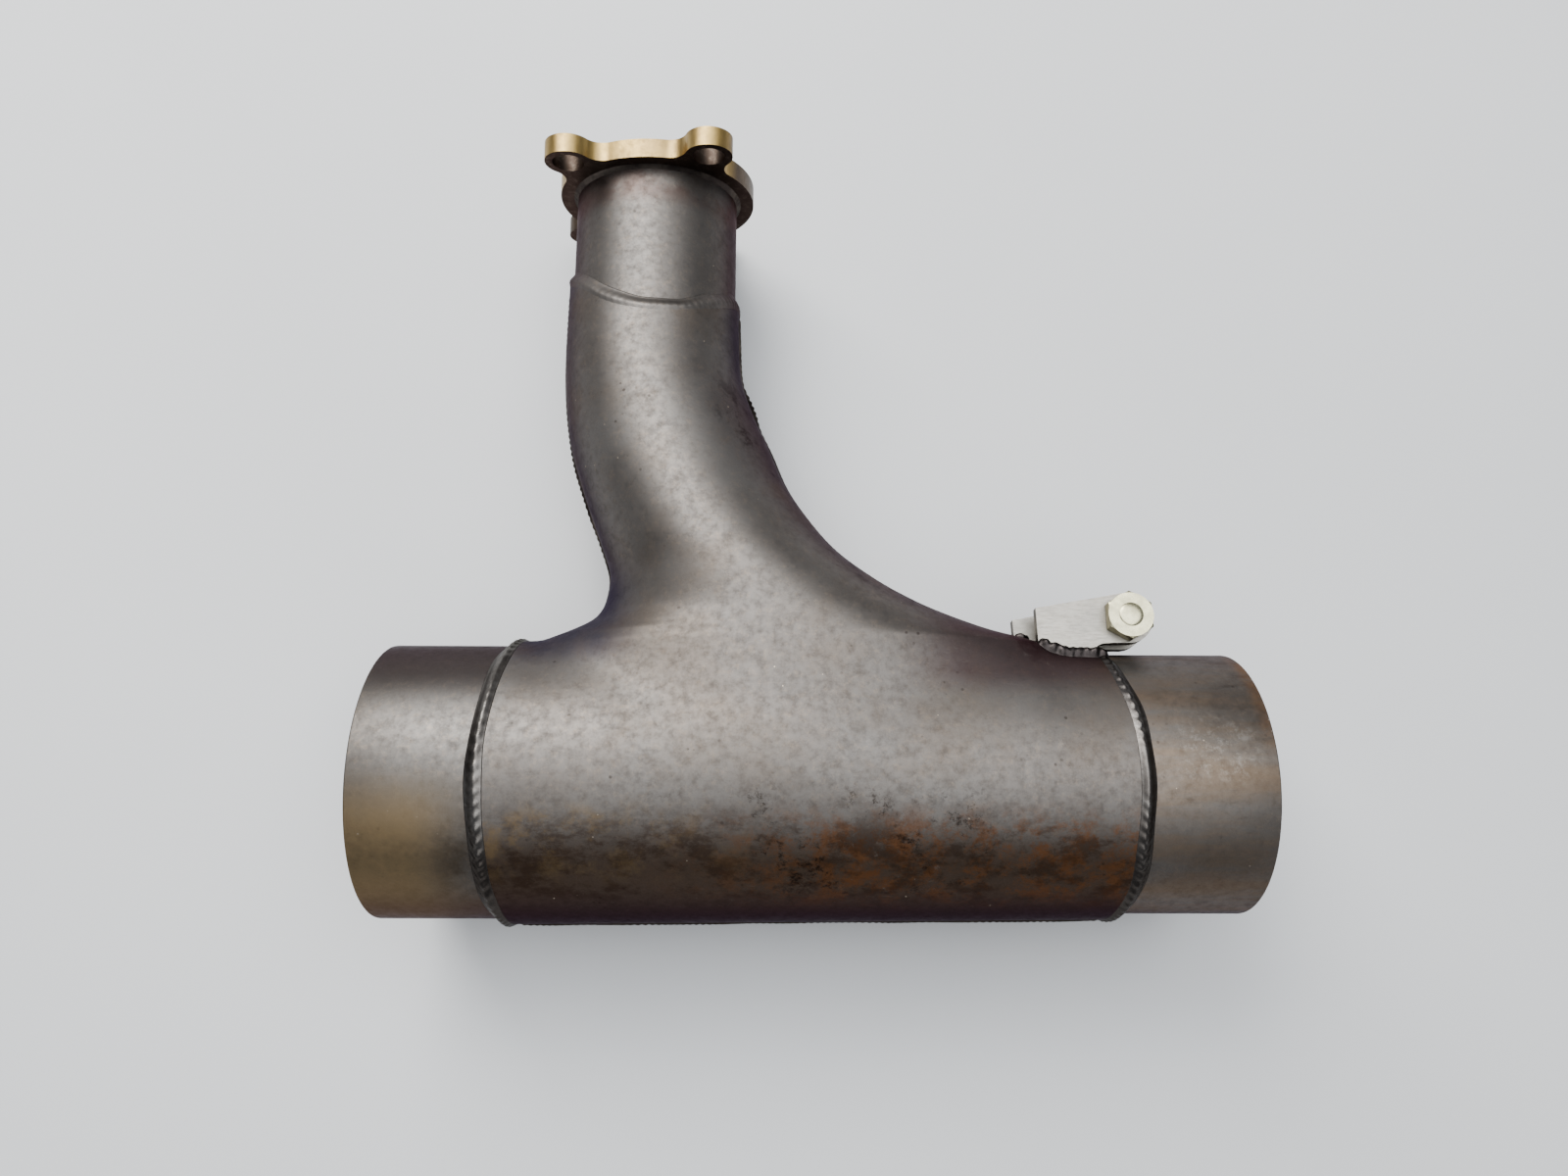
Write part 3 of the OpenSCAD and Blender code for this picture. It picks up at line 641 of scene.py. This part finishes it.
def shell_skin(t):
    """Points and normals of a half shell's skin, t mm inside its outer face, row by row."""
    run_rows = -np.cos(np.linspace(0, math.pi, RUN_ROWS))
    edge = run_rows[-1]
    close_rows = [0.004, 0.010, 0.018, 0.028, 0.040, 0.055, 0.075]
    riser_rows = edge + np.concatenate([close_rows, np.linspace(0.10, MOUTH_SIDE / R0 - edge, RISER_ROWS)])
    across = -np.cos(math.pi * np.linspace(0, 1, SHELL_COLS + 1))
    e = 0.05
    pts, nrm = [], []
    for q in np.concatenate([run_rows, riser_rows]):
        y = q * R0
        if q > 1.0:
            f = max(0, (y - RISER_START) / (MOUTH_SIDE - RISER_START)) ** 2
            a, b = float(rim_x0(y + MOUTH_SKEW * f, t)), float(rim_x1(y - MOUTH_SKEW * f, t))
            x = (a + b) / 2 + (b - a) / 2 * across
            yy = y - f * (MOUTH_BOW * (1 - across ** 2) + MOUTH_SKEW * across)
        else:
            a, b = float(end_x0(y)), float(end_x1(q * R1))
            x = (a + b) / 2 + (b - a) / 2 * across
            yy = q * run_r(x, t)
        z = np.sqrt(np.maximum(height_sq(x, yy, t), 0.02 ** 2))
        fx = -(height_sq(x + e, yy, t) - height_sq(x - e, yy, t)) / (2 * e)
        fy = -(height_sq(x, yy + e, t) - height_sq(x, yy - e, t)) / (2 * e)
        g = np.stack([fx, fy, 2 * z], axis=1)
        g /= np.maximum(np.linalg.norm(g, axis=1), 1e-9)[:, None]
        pts.append(np.stack([x, yy, z], axis=1))
        nrm.append(g)
    return np.concatenate(pts), np.concatenate(nrm)


def half_shell(name, node, sign):
    """A half shell: an outer and an inner skin, joined by a strip with points of its own."""
    out, out_n = shell_skin(0.0)
    inn, inn_n = shell_skin(SHELL_WALL)
    k, n = len(out), SHELL_COLS + 1
    m = k // n
    verts = np.concatenate([out, inn, out, inn]) * np.array([1, 1, sign])
    faces = grid_faces(m, n, close_cols=False) + grid_faces(m, n, close_cols=False, flip=True, start=k)
    skins = len(faces)
    ring = (list(range(n - 1)) + [j * n + n - 1 for j in range(m - 1)]
            + [(m - 1) * n + i for i in range(n - 1, 0, -1)] + [j * n for j in range(m - 1, 0, -1)])
    for a, b in zip(ring, ring[1:] + ring[:1]):
        faces.append((a + 2 * k, a + 3 * k, b + 3 * k, b + 2 * k))
    if sign < 0:
        faces = [tuple(reversed(f)) for f in faces]
    mats = [0] * (skins // 2) + [1] * (skins - skins // 2) + [0] * (len(faces) - skins)
    obj = make(name, verts, faces, [M_SHELL, M_SOOT], node=node, slot="shell_steel", face_mats=mats)
    mesh = obj.data
    vn = np.concatenate([out_n, -inn_n]) * np.array([1, 1, sign])
    loops = []
    for p in mesh.polygons:
        for li in p.loop_indices:
            v = mesh.loops[li].vertex_index
            loops.append(tuple(vn[v]) if v < 2 * k else tuple(p.normal))
    mesh.normals_split_custom_set(loops)


half_shell("visual_shell_near", "shell_near", 1)
half_shell("visual_shell_far", "shell_far", -1)


# ---------------------------------------------------------------- the tubes
PIPE_COLS, NECK_COLS, NECK_ROWS = 192, 160, 24


def pipe(name, node, slot_name, x_from, x_to, r, mats):
    """A straight tube on the run axis, with the outer material first."""
    prof = rounded([(r, x_from), (r, x_to), (r - TUBE_WALL, x_to), (r - TUBE_WALL, x_from)], 0.35)
    verts, faces = lathe((0, 0, 0), (1, 0, 0), prof, PIPE_COLS)
    mids = [(a[0] + b[0]) / 2 for a, b in zip(prof, prof[1:] + prof[:1])]
    face_mats = [1 if mid < r - TUBE_WALL * 0.6 else 0 for mid in mids for _ in range(PIPE_COLS)]
    fix_outside(make(name, verts, faces, mats, node=node, slot=slot_name, face_mats=face_mats, sharp=60))


pipe("visual_sleeve", "slip_sleeve", "sleeve_steel", 0, X0 + TUBE_LAP, SLEEVE_R, [M_SLEEVE, M_SOOT])
pipe("visual_spigot", "slip_spigot", "spigot_steel", X1 - TUBE_LAP - 3, RUN_LEN, SPIGOT_R,
     [M_SPIGOT, M_SOOT])


def neck():
    """The neck tube, whose upper end follows the leaning flange."""
    theta = np.arange(NECK_COLS) * 2 * math.pi / NECK_COLS
    up = np.linspace(0, 1, NECK_ROWS)
    rows = []
    for r, where in [(NECK_R, f) for f in up] + [(NECK_R - NECK_WALL, f) for f in up[::-1]]:
        x, z = r * np.cos(theta), r * np.sin(theta)
        top = FLANGE_Y - z * math.tan(CANT) - 0.05
        rows.append(np.stack([NECK_X + x, NECK_Y0 + (top - NECK_Y0) * where, z], axis=1))
    skin = NECK_ROWS * NECK_COLS
    faces = grid_faces(2 * NECK_ROWS, NECK_COLS, close_rows=True)
    fix_outside(make("visual_neck", np.concatenate(rows), faces, [M_NECK, M_SOOT], node="neck_tube",
                     slot="neck_steel", face_mats=[0] * skin + [1] * skin, sharp=60))


neck()

# ---------------------------------------------------------------- the flange
# Its place on the riser axis, its normal, and the axis across it that isn't X
FO = np.array([NECK_X, FLANGE_Y, 0])
FN = np.array([0, math.cos(CANT), math.sin(CANT)])
FY = np.array([0, math.sin(CANT), -math.cos(CANT)])


def turned(p, a):
    return np.array([p[0] * math.cos(a) - p[1] * math.sin(a), p[0] * math.sin(a) + p[1] * math.cos(a)])


def heading(v):
    return math.atan2(v[1], v[0])


def short_turn(a):
    """The same turn, between half a turn back and half a turn on."""
    return (a + math.pi) % (2 * math.pi) - math.pi


def flange_outline():
    """The hub and its four ears, joined by arcs tangent to both."""
    a, b = HUB_R + FILLET_R, LOBE_R + FILLET_R
    ears = []
    for p in sorted((turned(e, CLOCK) for e in EARS), key=heading):
        d = np.linalg.norm(p)
        ears.append((p, heading(p), math.acos((d * d + a * a - b * b) / (2 * d * a))))
    out = []
    for i, (p, ang, off) in enumerate(ears):
        before = a * np.array([math.cos(ang - off), math.sin(ang - off)])
        after = a * np.array([math.cos(ang + off), math.sin(ang + off)])
        hub_in, ear_in = heading(-before), heading(p - before)
        out += arc(before, FILLET_R, hub_in, hub_in + short_turn(ear_in - hub_in), 10)
        start, end = heading(before - p), heading(after - p)
        out += arc(p, LOBE_R, start, start + (end - start) % (2 * math.pi), 30)
        ear_out, hub_out = heading(p - after), heading(-after)
        out += arc(after, FILLET_R, ear_out, ear_out + short_turn(hub_out - ear_out), 10)
        _, next_ang, next_off = ears[(i + 1) % len(ears)]
        start, end = ang + off, next_ang - next_off
        out += arc((0, 0), HUB_R, start, start + (end - start) % (2 * math.pi), 30)
    return out


gas_hole = circle(0, 0, NECK_R - NECK_WALL, 128)
stud_holes = [circle(*turned(e, CLOCK), HOLE_R, 48) for e in EARS]
plate("visual_flange", flange_outline(), [gas_hole] + stud_holes, (FO, np.array([1.0, 0, 0]), FY, FN),
      FLANGE_T, [M_FACE, M_RIM, M_BACK], bevel=0.45, back_mat=2, node="flange", slot="flange_steel")


def flange_weld():
    """The fillet between neck and flange, with a hollow face and small ripples."""
    leg, ripple, ripples = 1.2, 0.10, 34
    profile = [(NECK_R - 0.1, 0.02), (NECK_R + leg, 0.02), (NECK_R + leg * 0.72, -leg * 0.16),
               (NECK_R + leg * 0.45, -leg * 0.42), (NECK_R + leg * 0.2, -leg * 0.75),
               (NECK_R + 0.02, -leg), (NECK_R - 0.1, -leg)]

    def rippled(th, r, z):
        return r + ripple * np.abs(np.sin(th * ripples)) * (r > NECK_R + 0.3) * (z < 0)

    verts, faces = lathe(FO, FN, profile, 240, radius=rippled)
    fix_outside(make("visual_flange_weld", verts, faces, [M_SEAM], node="flange_weld", slot="weld_steel",
                     sharp=70))


flange_weld()


# ---------------------------------------------------------------- weld beads
BEAD_LIFT = 0.02
RISER_FOOT = 38.3
AROUND = np.linspace(0, 2 * math.pi, 181)[:-1]


def flat_normals(path, s):
    t = np.gradient(np.asarray(path), axis=0)
    t /= np.linalg.norm(t, axis=1)[:, None]
    return np.stack([s * t[:, 1], -s * t[:, 0], 0 * t[:, 0]], axis=1)


def swell(f, place, half, tall, power=2):
    """A thicker stretch of a bead, about a place along it."""
    return tall * np.exp(-(np.abs(f - place) / half) ** power)


def seam(name, node, path, side, width, height, **kw):
    path = resample(path, 1.0)
    bead(name, path, flat_normals(path, side), width, height, M_SEAM, node=node, slot="weld_steel", **kw)


def riser_path(rim_x, top, run_xs):
    """Down the riser's edge from top, and on along the run."""
    down = [[float(rim_x(y)), y, 0] for y in np.linspace(top, RISER_FOOT, 120)]
    return down + [[x, float(run_r(x)) + 0.05, 0] for x in run_xs]


seam("visual_seam_bottom", "seam_weld_bottom",
     [[x, -run_r(x) + BEAD_LIFT, 0] for x in np.linspace(X0 + 4, X1 - 3, 40)],
     1, 2.2, 0.62, pitch=1.7, ripple=0.22, seed=11)
seam("visual_seam_outer", "seam_weld_outer",
     riser_path(rim_x0, MOUTH_SIDE + MOUTH_SKEW - 2, np.arange(42, 34, -1.5)),
     1, 2.3, 0.62, pitch=1.8, ripple=0.3, seed=21,
     lump=lambda f: swell(f, 0.93, 0.035, 0.55) + swell(f, 0.52, 0.12, 0.45))
seam("visual_seam_inner", "seam_weld_inner",
     riser_path(rim_x1, MOUTH_SIDE - MOUTH_SKEW - 2, np.arange(172, 180.5, 2)),
     -1, 2.3, 0.55, pitch=1.9, ripple=0.25, seed=31, lump=lambda f: swell(f, 0.19, 0.035, 1.5, 3))


def girth_bead(name, node, tube_r, shell_r, side, **kw):
    """The bead where a tube enters the shells; side is -1 at the sleeve and 1 at the spigot."""
    r = tube_r + BEAD_LIFT
    y, z = r * np.cos(AROUND), r * np.sin(AROUND)
    x = (end_x0(y) if side < 0 else end_x1(y)) + side * 0.8
    outward = np.stack([0 * y, np.cos(AROUND), np.sin(AROUND)], axis=1)
    bead(name, np.stack([x, y, z], axis=1), outward, 4.3, 0.78, M_WELD, closed=True, sink=0.3,
         climb=side * (shell_r - r), node=node, slot="weld_steel", **kw)


def neck_bead():
    """The bead round the shells' mouth on the neck; its ripples show on one side only."""
    r = NECK_R + BEAD_LIFT
    c, s = np.cos(AROUND), np.sin(AROUND)
    y = MOUTH_SIDE - MOUTH_BOW * s ** 2 - MOUTH_SKEW * c + 0.8
    bead("visual_neck_weld", np.stack([NECK_X + r * c, y, r * s], axis=1), np.stack([c, 0 * y, s], axis=1),
         4.4, 0.34, M_NECK, pitch=1.9, ripple=0.45, seed=61, sink=0.3, closed=True,
         climb=-(SHELL_NECK_R - NECK_R - 0.05), fade=lambda f: 0.25 + 0.75 * smooth(0.30, 0.22, f),
         node="neck_weld", slot="weld_steel")


girth_bead("visual_girth_sleeve", "girth_weld_sleeve", SLEEVE_R, R0, -1, seed=41, pitch=3.0, ripple=0.5)
girth_bead("visual_girth_spigot", "girth_weld_spigot", SPIGOT_R, R1, 1, seed=51, pitch=2.6, ripple=0.45)
neck_bead()

# ---------------------------------------------------------------- the clevis
# Along the bolt's axis, and across it away from the run
BA = np.array([0, math.sin(LEAN), math.cos(LEAN)])
BV = np.array([0, math.cos(LEAN), -math.sin(LEAN)])
EAR_PITCH = EAR_T + EAR_GAP


def shell_v(x, s):
    """How far out the shell's flank lies, along BV, in the plane s along the bolt's axis."""
    v = -2.0
    for _ in range(40):
        p = CLEVIS + BA * s + BV * v
        lo, hi = 26.0, 46.0
        for _ in range(22):
            m = (lo + hi) / 2
            inside = float(height_sq(x, m)) > p[2] ** 2
            lo, hi = (m, hi) if inside else (lo, m)
        v += lo - p[1]
    return v


def ear(name, node, depth, tab, top):
    """An ear whose outer face lies depth below the near one's. Its tab's corner is at tab along X and
    top along BV."""
    foot = [(x, shell_v(CLEVIS[0] + x, -depth) - 0.1) for x in np.linspace(tab + 0.2, -9.5, 12)]
    last = math.pi / 2 + math.atan2(top, tab) - math.acos(EAR_R / math.hypot(tab, top)) - 0.02
    out = [(tab, top)] + foot + [(-8.4, -7.6), (-7.0, -6.9), (-4.0, -6.66), (0, -EAR_R)]
    out += [(EAR_R * math.sin(t), -EAR_R * math.cos(t)) for t in np.linspace(0.1, last, 34)]
    if signed_area(out) < 0:
        out = out[::-1]
    # The axes run the other way round here, so the outline is mirrored in the first of them
    axes = (CLEVIS - BA * (depth + EAR_T), np.array([-1.0, 0, 0]), BV, BA)
    plate(name, [(-p[0], p[1]) for p in out], [circle(0, 0, BOLT_R + 0.07, 64)], axes, EAR_T,
          [M_EAR, M_EAR_EDGE_SHADE], bevel=0.25, node=node, slot="ear_steel")


ear("visual_ear_near", "clevis_ear_near", 0.0, -23.6, 2.5)
ear("visual_ear_far", "clevis_ear_far", EAR_PITCH, -28.1, 1.2)


def ear_bead(name, node, x_from, x_to, s, lift, size, seed):
    """The bead along an ear's foot, in the corner s along the bolt's axis; lift is the side it fills."""
    path = []
    for x in np.linspace(x_from, x_to, 14):
        v = shell_v(CLEVIS[0] + x, s)
        path.append(CLEVIS + np.array([x, 0, 0]) + BV * (v + 0.35) + BA * (s + lift * 0.3))
    nrm = np.tile(np.array([0, 0.72, 0.9 * lift]) / math.hypot(0.72, 0.9), (len(path), 1))
    bead(name, path, nrm, size * 2.0, size * 0.78, M_EARWELD, pitch=3.2, ripple=0.22, seed=seed,
         sink=size * 0.4, node=node, slot="weld_steel")


ear_bead("visual_ear_weld_near", "ear_weld_near", -23.4, -5.8, 0.0, 1, 2.3, 71)
ear_bead("visual_ear_weld_far", "ear_weld_far", -27.1, -9.0, -STACK, -1, 1.8, 81)
ear_bead("visual_ear_weld_tab", "ear_weld_tab", -27.6, -24.0, -EAR_PITCH, 1, 1.3, 91)


# ---------------------------------------------------------------- fasteners
ROUND_COLS = 144
HEX_R = HEX_AF / 2 / math.cos(math.pi / 6)
DOME_R, DOME_H = 3.05, 0.5
THREAD_DEPTH = 0.42
WASHER_Z = -STACK - WASHER_T - 0.03
NUT_Z = -STACK - WASHER_T - 0.06
NUT_CORNER_Z = NUT_Z - NUT_HEX_H
# Marks in a profile, in place of a radius: a hexagonal row and a threaded row
HEX_ROW, THREAD_ROW = -1, -2


def hexagon(th, cone_r):
    """Radius of a hexagon with a flat at angle zero, whose corners a cone cuts off."""
    a = (th + math.pi / 6) % (math.pi / 3) - math.pi / 6
    return np.minimum(HEX_AF / 2 / np.cos(a), cone_r)


def bolt_radius(th, r, z):
    if r == HEX_ROW:
        return hexagon(th, HEX_R - 0.65 + 1.73 * (HEAD_H - z))
    if r == THREAD_ROW:
        wave = np.abs(((z / PITCH - th / (2 * math.pi)) % 1.0) * 2 - 1)
        groove = np.clip((wave - 0.12) / 0.8, 0, 1) * smooth(0, 0.7, z + BOLT_LEN - 0.1)
        return BOLT_R - 0.02 - THREAD_DEPTH * groove
    return np.full_like(th, r)


def nut_radius(th, r, z):
    if r == HEX_ROW:
        return hexagon(th + math.pi / 6, HEX_R - 0.4 + 1.5 * min(z - NUT_CORNER_Z, NUT_Z - z))
    return np.full_like(th, r)


def bolt():
    """The bolt, from its threaded tip up to the low dome on its head."""
    seat_r = HEX_AF / 2 - 0.25
    profile = [(0.001, -BOLT_LEN), (BOLT_R - 0.75, -BOLT_LEN), (BOLT_R - 0.6, -BOLT_LEN + 0.06),
               (BOLT_R - 0.35, -BOLT_LEN + 0.35)]
    profile += [(THREAD_ROW, z) for z in np.arange(-BOLT_LEN + 0.45, -STACK + 0.6, 0.085)]
    profile += [(BOLT_R, -STACK + 0.9), (BOLT_R, 0.0), (BOLT_R, 0.03)]
    profile += [(seat_r - 0.02, 0.03), (seat_r, 0.06), (seat_r, 0.34), (HEX_ROW, 0.36), (HEX_ROW, 0.40)]
    profile += [(HEX_ROW, z) for z in np.linspace(0.6, HEAD_H - 0.3, 14)]
    profile += [(HEX_ROW, HEAD_H - 0.1), (HEX_ROW, HEAD_H - 0.02), (HEX_R - 0.62, HEAD_H)]
    profile += [(3.6, HEAD_H), (DOME_R + 0.07, HEAD_H + 0.02)]
    profile += [(DOME_R * math.cos(a), HEAD_H + 0.02 + DOME_H * math.sin(a))
                for a in np.linspace(0.12, math.pi / 2 - 0.02, 10)]
    verts, faces = lathe(CLEVIS, BA, profile, ROUND_COLS, closed=False, radius=bolt_radius)
    faces.append(tuple(range(ROUND_COLS)))
    faces.append(tuple(range(len(verts) - ROUND_COLS, len(verts))))
    mats = []
    # The hex flats take the dark copy of the plating, which is painted shade
    for low, high in zip(profile, profile[1:]):
        mats += [1 if 0.3 < (low[1] + high[1]) / 2 < HEAD_H - 0.35 else 0] * ROUND_COLS
    fix_outside(make("visual_bolt", verts, faces, [M_BOLT, M_BOLT_FLAT_SHADE], node="clevis_bolt", body="bolt",
                     slot="bolt_plating", face_mats=mats + [0, 0], sharp=28))


def washer():
    profile = rounded([(BOLT_R + 0.2, WASHER_Z), (WASHER_R, WASHER_Z), (WASHER_R, WASHER_Z + WASHER_T),
                       (BOLT_R + 0.2, WASHER_Z + WASHER_T)], 0.15)
    verts, faces = lathe(CLEVIS, BA, profile, ROUND_COLS)
    fix_outside(make("visual_washer", verts, faces, [M_NUT], node="nut_washer", body="washer",
                     slot="nut_plating", sharp=50))


def nut():
    """The lock nut: a round collar below, a chamfered hexagon above, and a plain bore."""
    bottom, bore_r, rows = NUT_Z - NUT_H, BOLT_R + 0.06, (0.02, 0.15, 0.3, 0.45, 0.65, 1.0)
    profile = [(BOLT_R + 0.25, bottom), (4.2, bottom), (4.45, bottom + 0.12), (4.6, bottom + 0.5),
               (4.6, NUT_CORNER_Z - 0.25), (4.75, NUT_CORNER_Z)]
    profile += [(HEX_ROW, NUT_CORNER_Z + d) for d in rows] + [(HEX_ROW, NUT_Z - d) for d in rows[::-1]]
    profile += [(4.9, NUT_Z), (BOLT_R + 0.35, NUT_Z), (bore_r, NUT_Z - 0.25), (bore_r, bottom + 0.25)]
    verts, faces = lathe(CLEVIS, BA, profile, ROUND_COLS, radius=nut_radius)
    fix_outside(make("visual_nut", verts, faces, [M_NUT], node="lock_nut", body="nut",
                     slot="nut_plating", sharp=28))


bolt()
washer()
nut()

# ---------------------------------------------------------------- stage, camera and light
FLOOR_Z = -37.3 * MM
FLOOR_HALF = 3


def paper():
    n = Nodes("floor_paper")
    shade = n.mix(n.step(n.noise(3, 4, 0.5), 0.3, 0.7), (0.60, 0.61, 0.62), (0.64, 0.65, 0.66))
    n.put(shade, n.bsdf.inputs["Base Color"])
    n.bsdf.inputs["Roughness"].default_value = 0.85
    return n.mat


corners = [(-1, -1), (1, -1), (1, 1), (-1, 1)]
floor_mesh = bpy.data.meshes.new("floor")
floor_mesh.from_pydata([(FLOOR_HALF * x, FLOOR_HALF * y, FLOOR_Z) for x, y in corners], [], [(0, 1, 2, 3)])
floor_mesh.materials.append(paper())
floor = bpy.data.objects.new("floor", floor_mesh)
bpy.context.scene.collection.objects.link(floor)


def lamp(name, place, target, size, power, tint):
    data = bpy.data.lights.new(name, "AREA")
    data.shape = "RECTANGLE"
    data.size, data.size_y = size
    data.energy = power
    data.color = tint
    obj = bpy.data.objects.new(name, data)
    obj.location = place
    obj.rotation_euler = (Vector(target) - Vector(place)).to_track_quat("-Z", "Y").to_euler()
    bpy.context.scene.collection.objects.link(obj)


lamp("key", (-0.20, 0.62, 0.66), (0.10, 0.05, 0), (0.60, 0.50), 12, (1.0, 0.985, 0.96))
lamp("ceiling", (0.22, 0.30, 1.25), (0.10, 0.05, 0), (1.5, 1.1), 23, (0.96, 0.98, 1.0))
lamp("front", (0.05, -0.50, 1.00), (0.10, 0.0, 0), (1.2, 0.5), 3.2, (0.98, 0.99, 1.0))
world = bpy.data.worlds.new("studio")
world.use_nodes = True
background = next(n for n in world.node_tree.nodes if n.type == "BACKGROUND")
background.inputs["Color"].default_value = (0.80, 0.84, 0.92, 1)
background.inputs["Strength"].default_value = 0.28
bpy.context.scene.world = world

# The camera's place in m and its axes, fitted to the outline of the object
CAM_PLACE = (0.098518, -0.007951, 0.290219)
CAM_RIGHT = (0.99992162, 0.00313779, 0.01212031)
CAM_UP = (-0.00551252, 0.97953631, 0.20119201)
CAM_BACK = (-0.01124099, -0.20124306, 0.97947684)
cam_data = bpy.data.cameras.new("camera")
cam_data.sensor_width = 36
cam_data.lens = 24.95
cam_data.clip_start = 0.01
cam = bpy.data.objects.new("camera", cam_data)
cam.matrix_world = Matrix((*zip(CAM_RIGHT, CAM_UP, CAM_BACK, CAM_PLACE), (0, 0, 0, 1)))
bpy.context.scene.collection.objects.link(cam)
bpy.context.scene.camera = cam
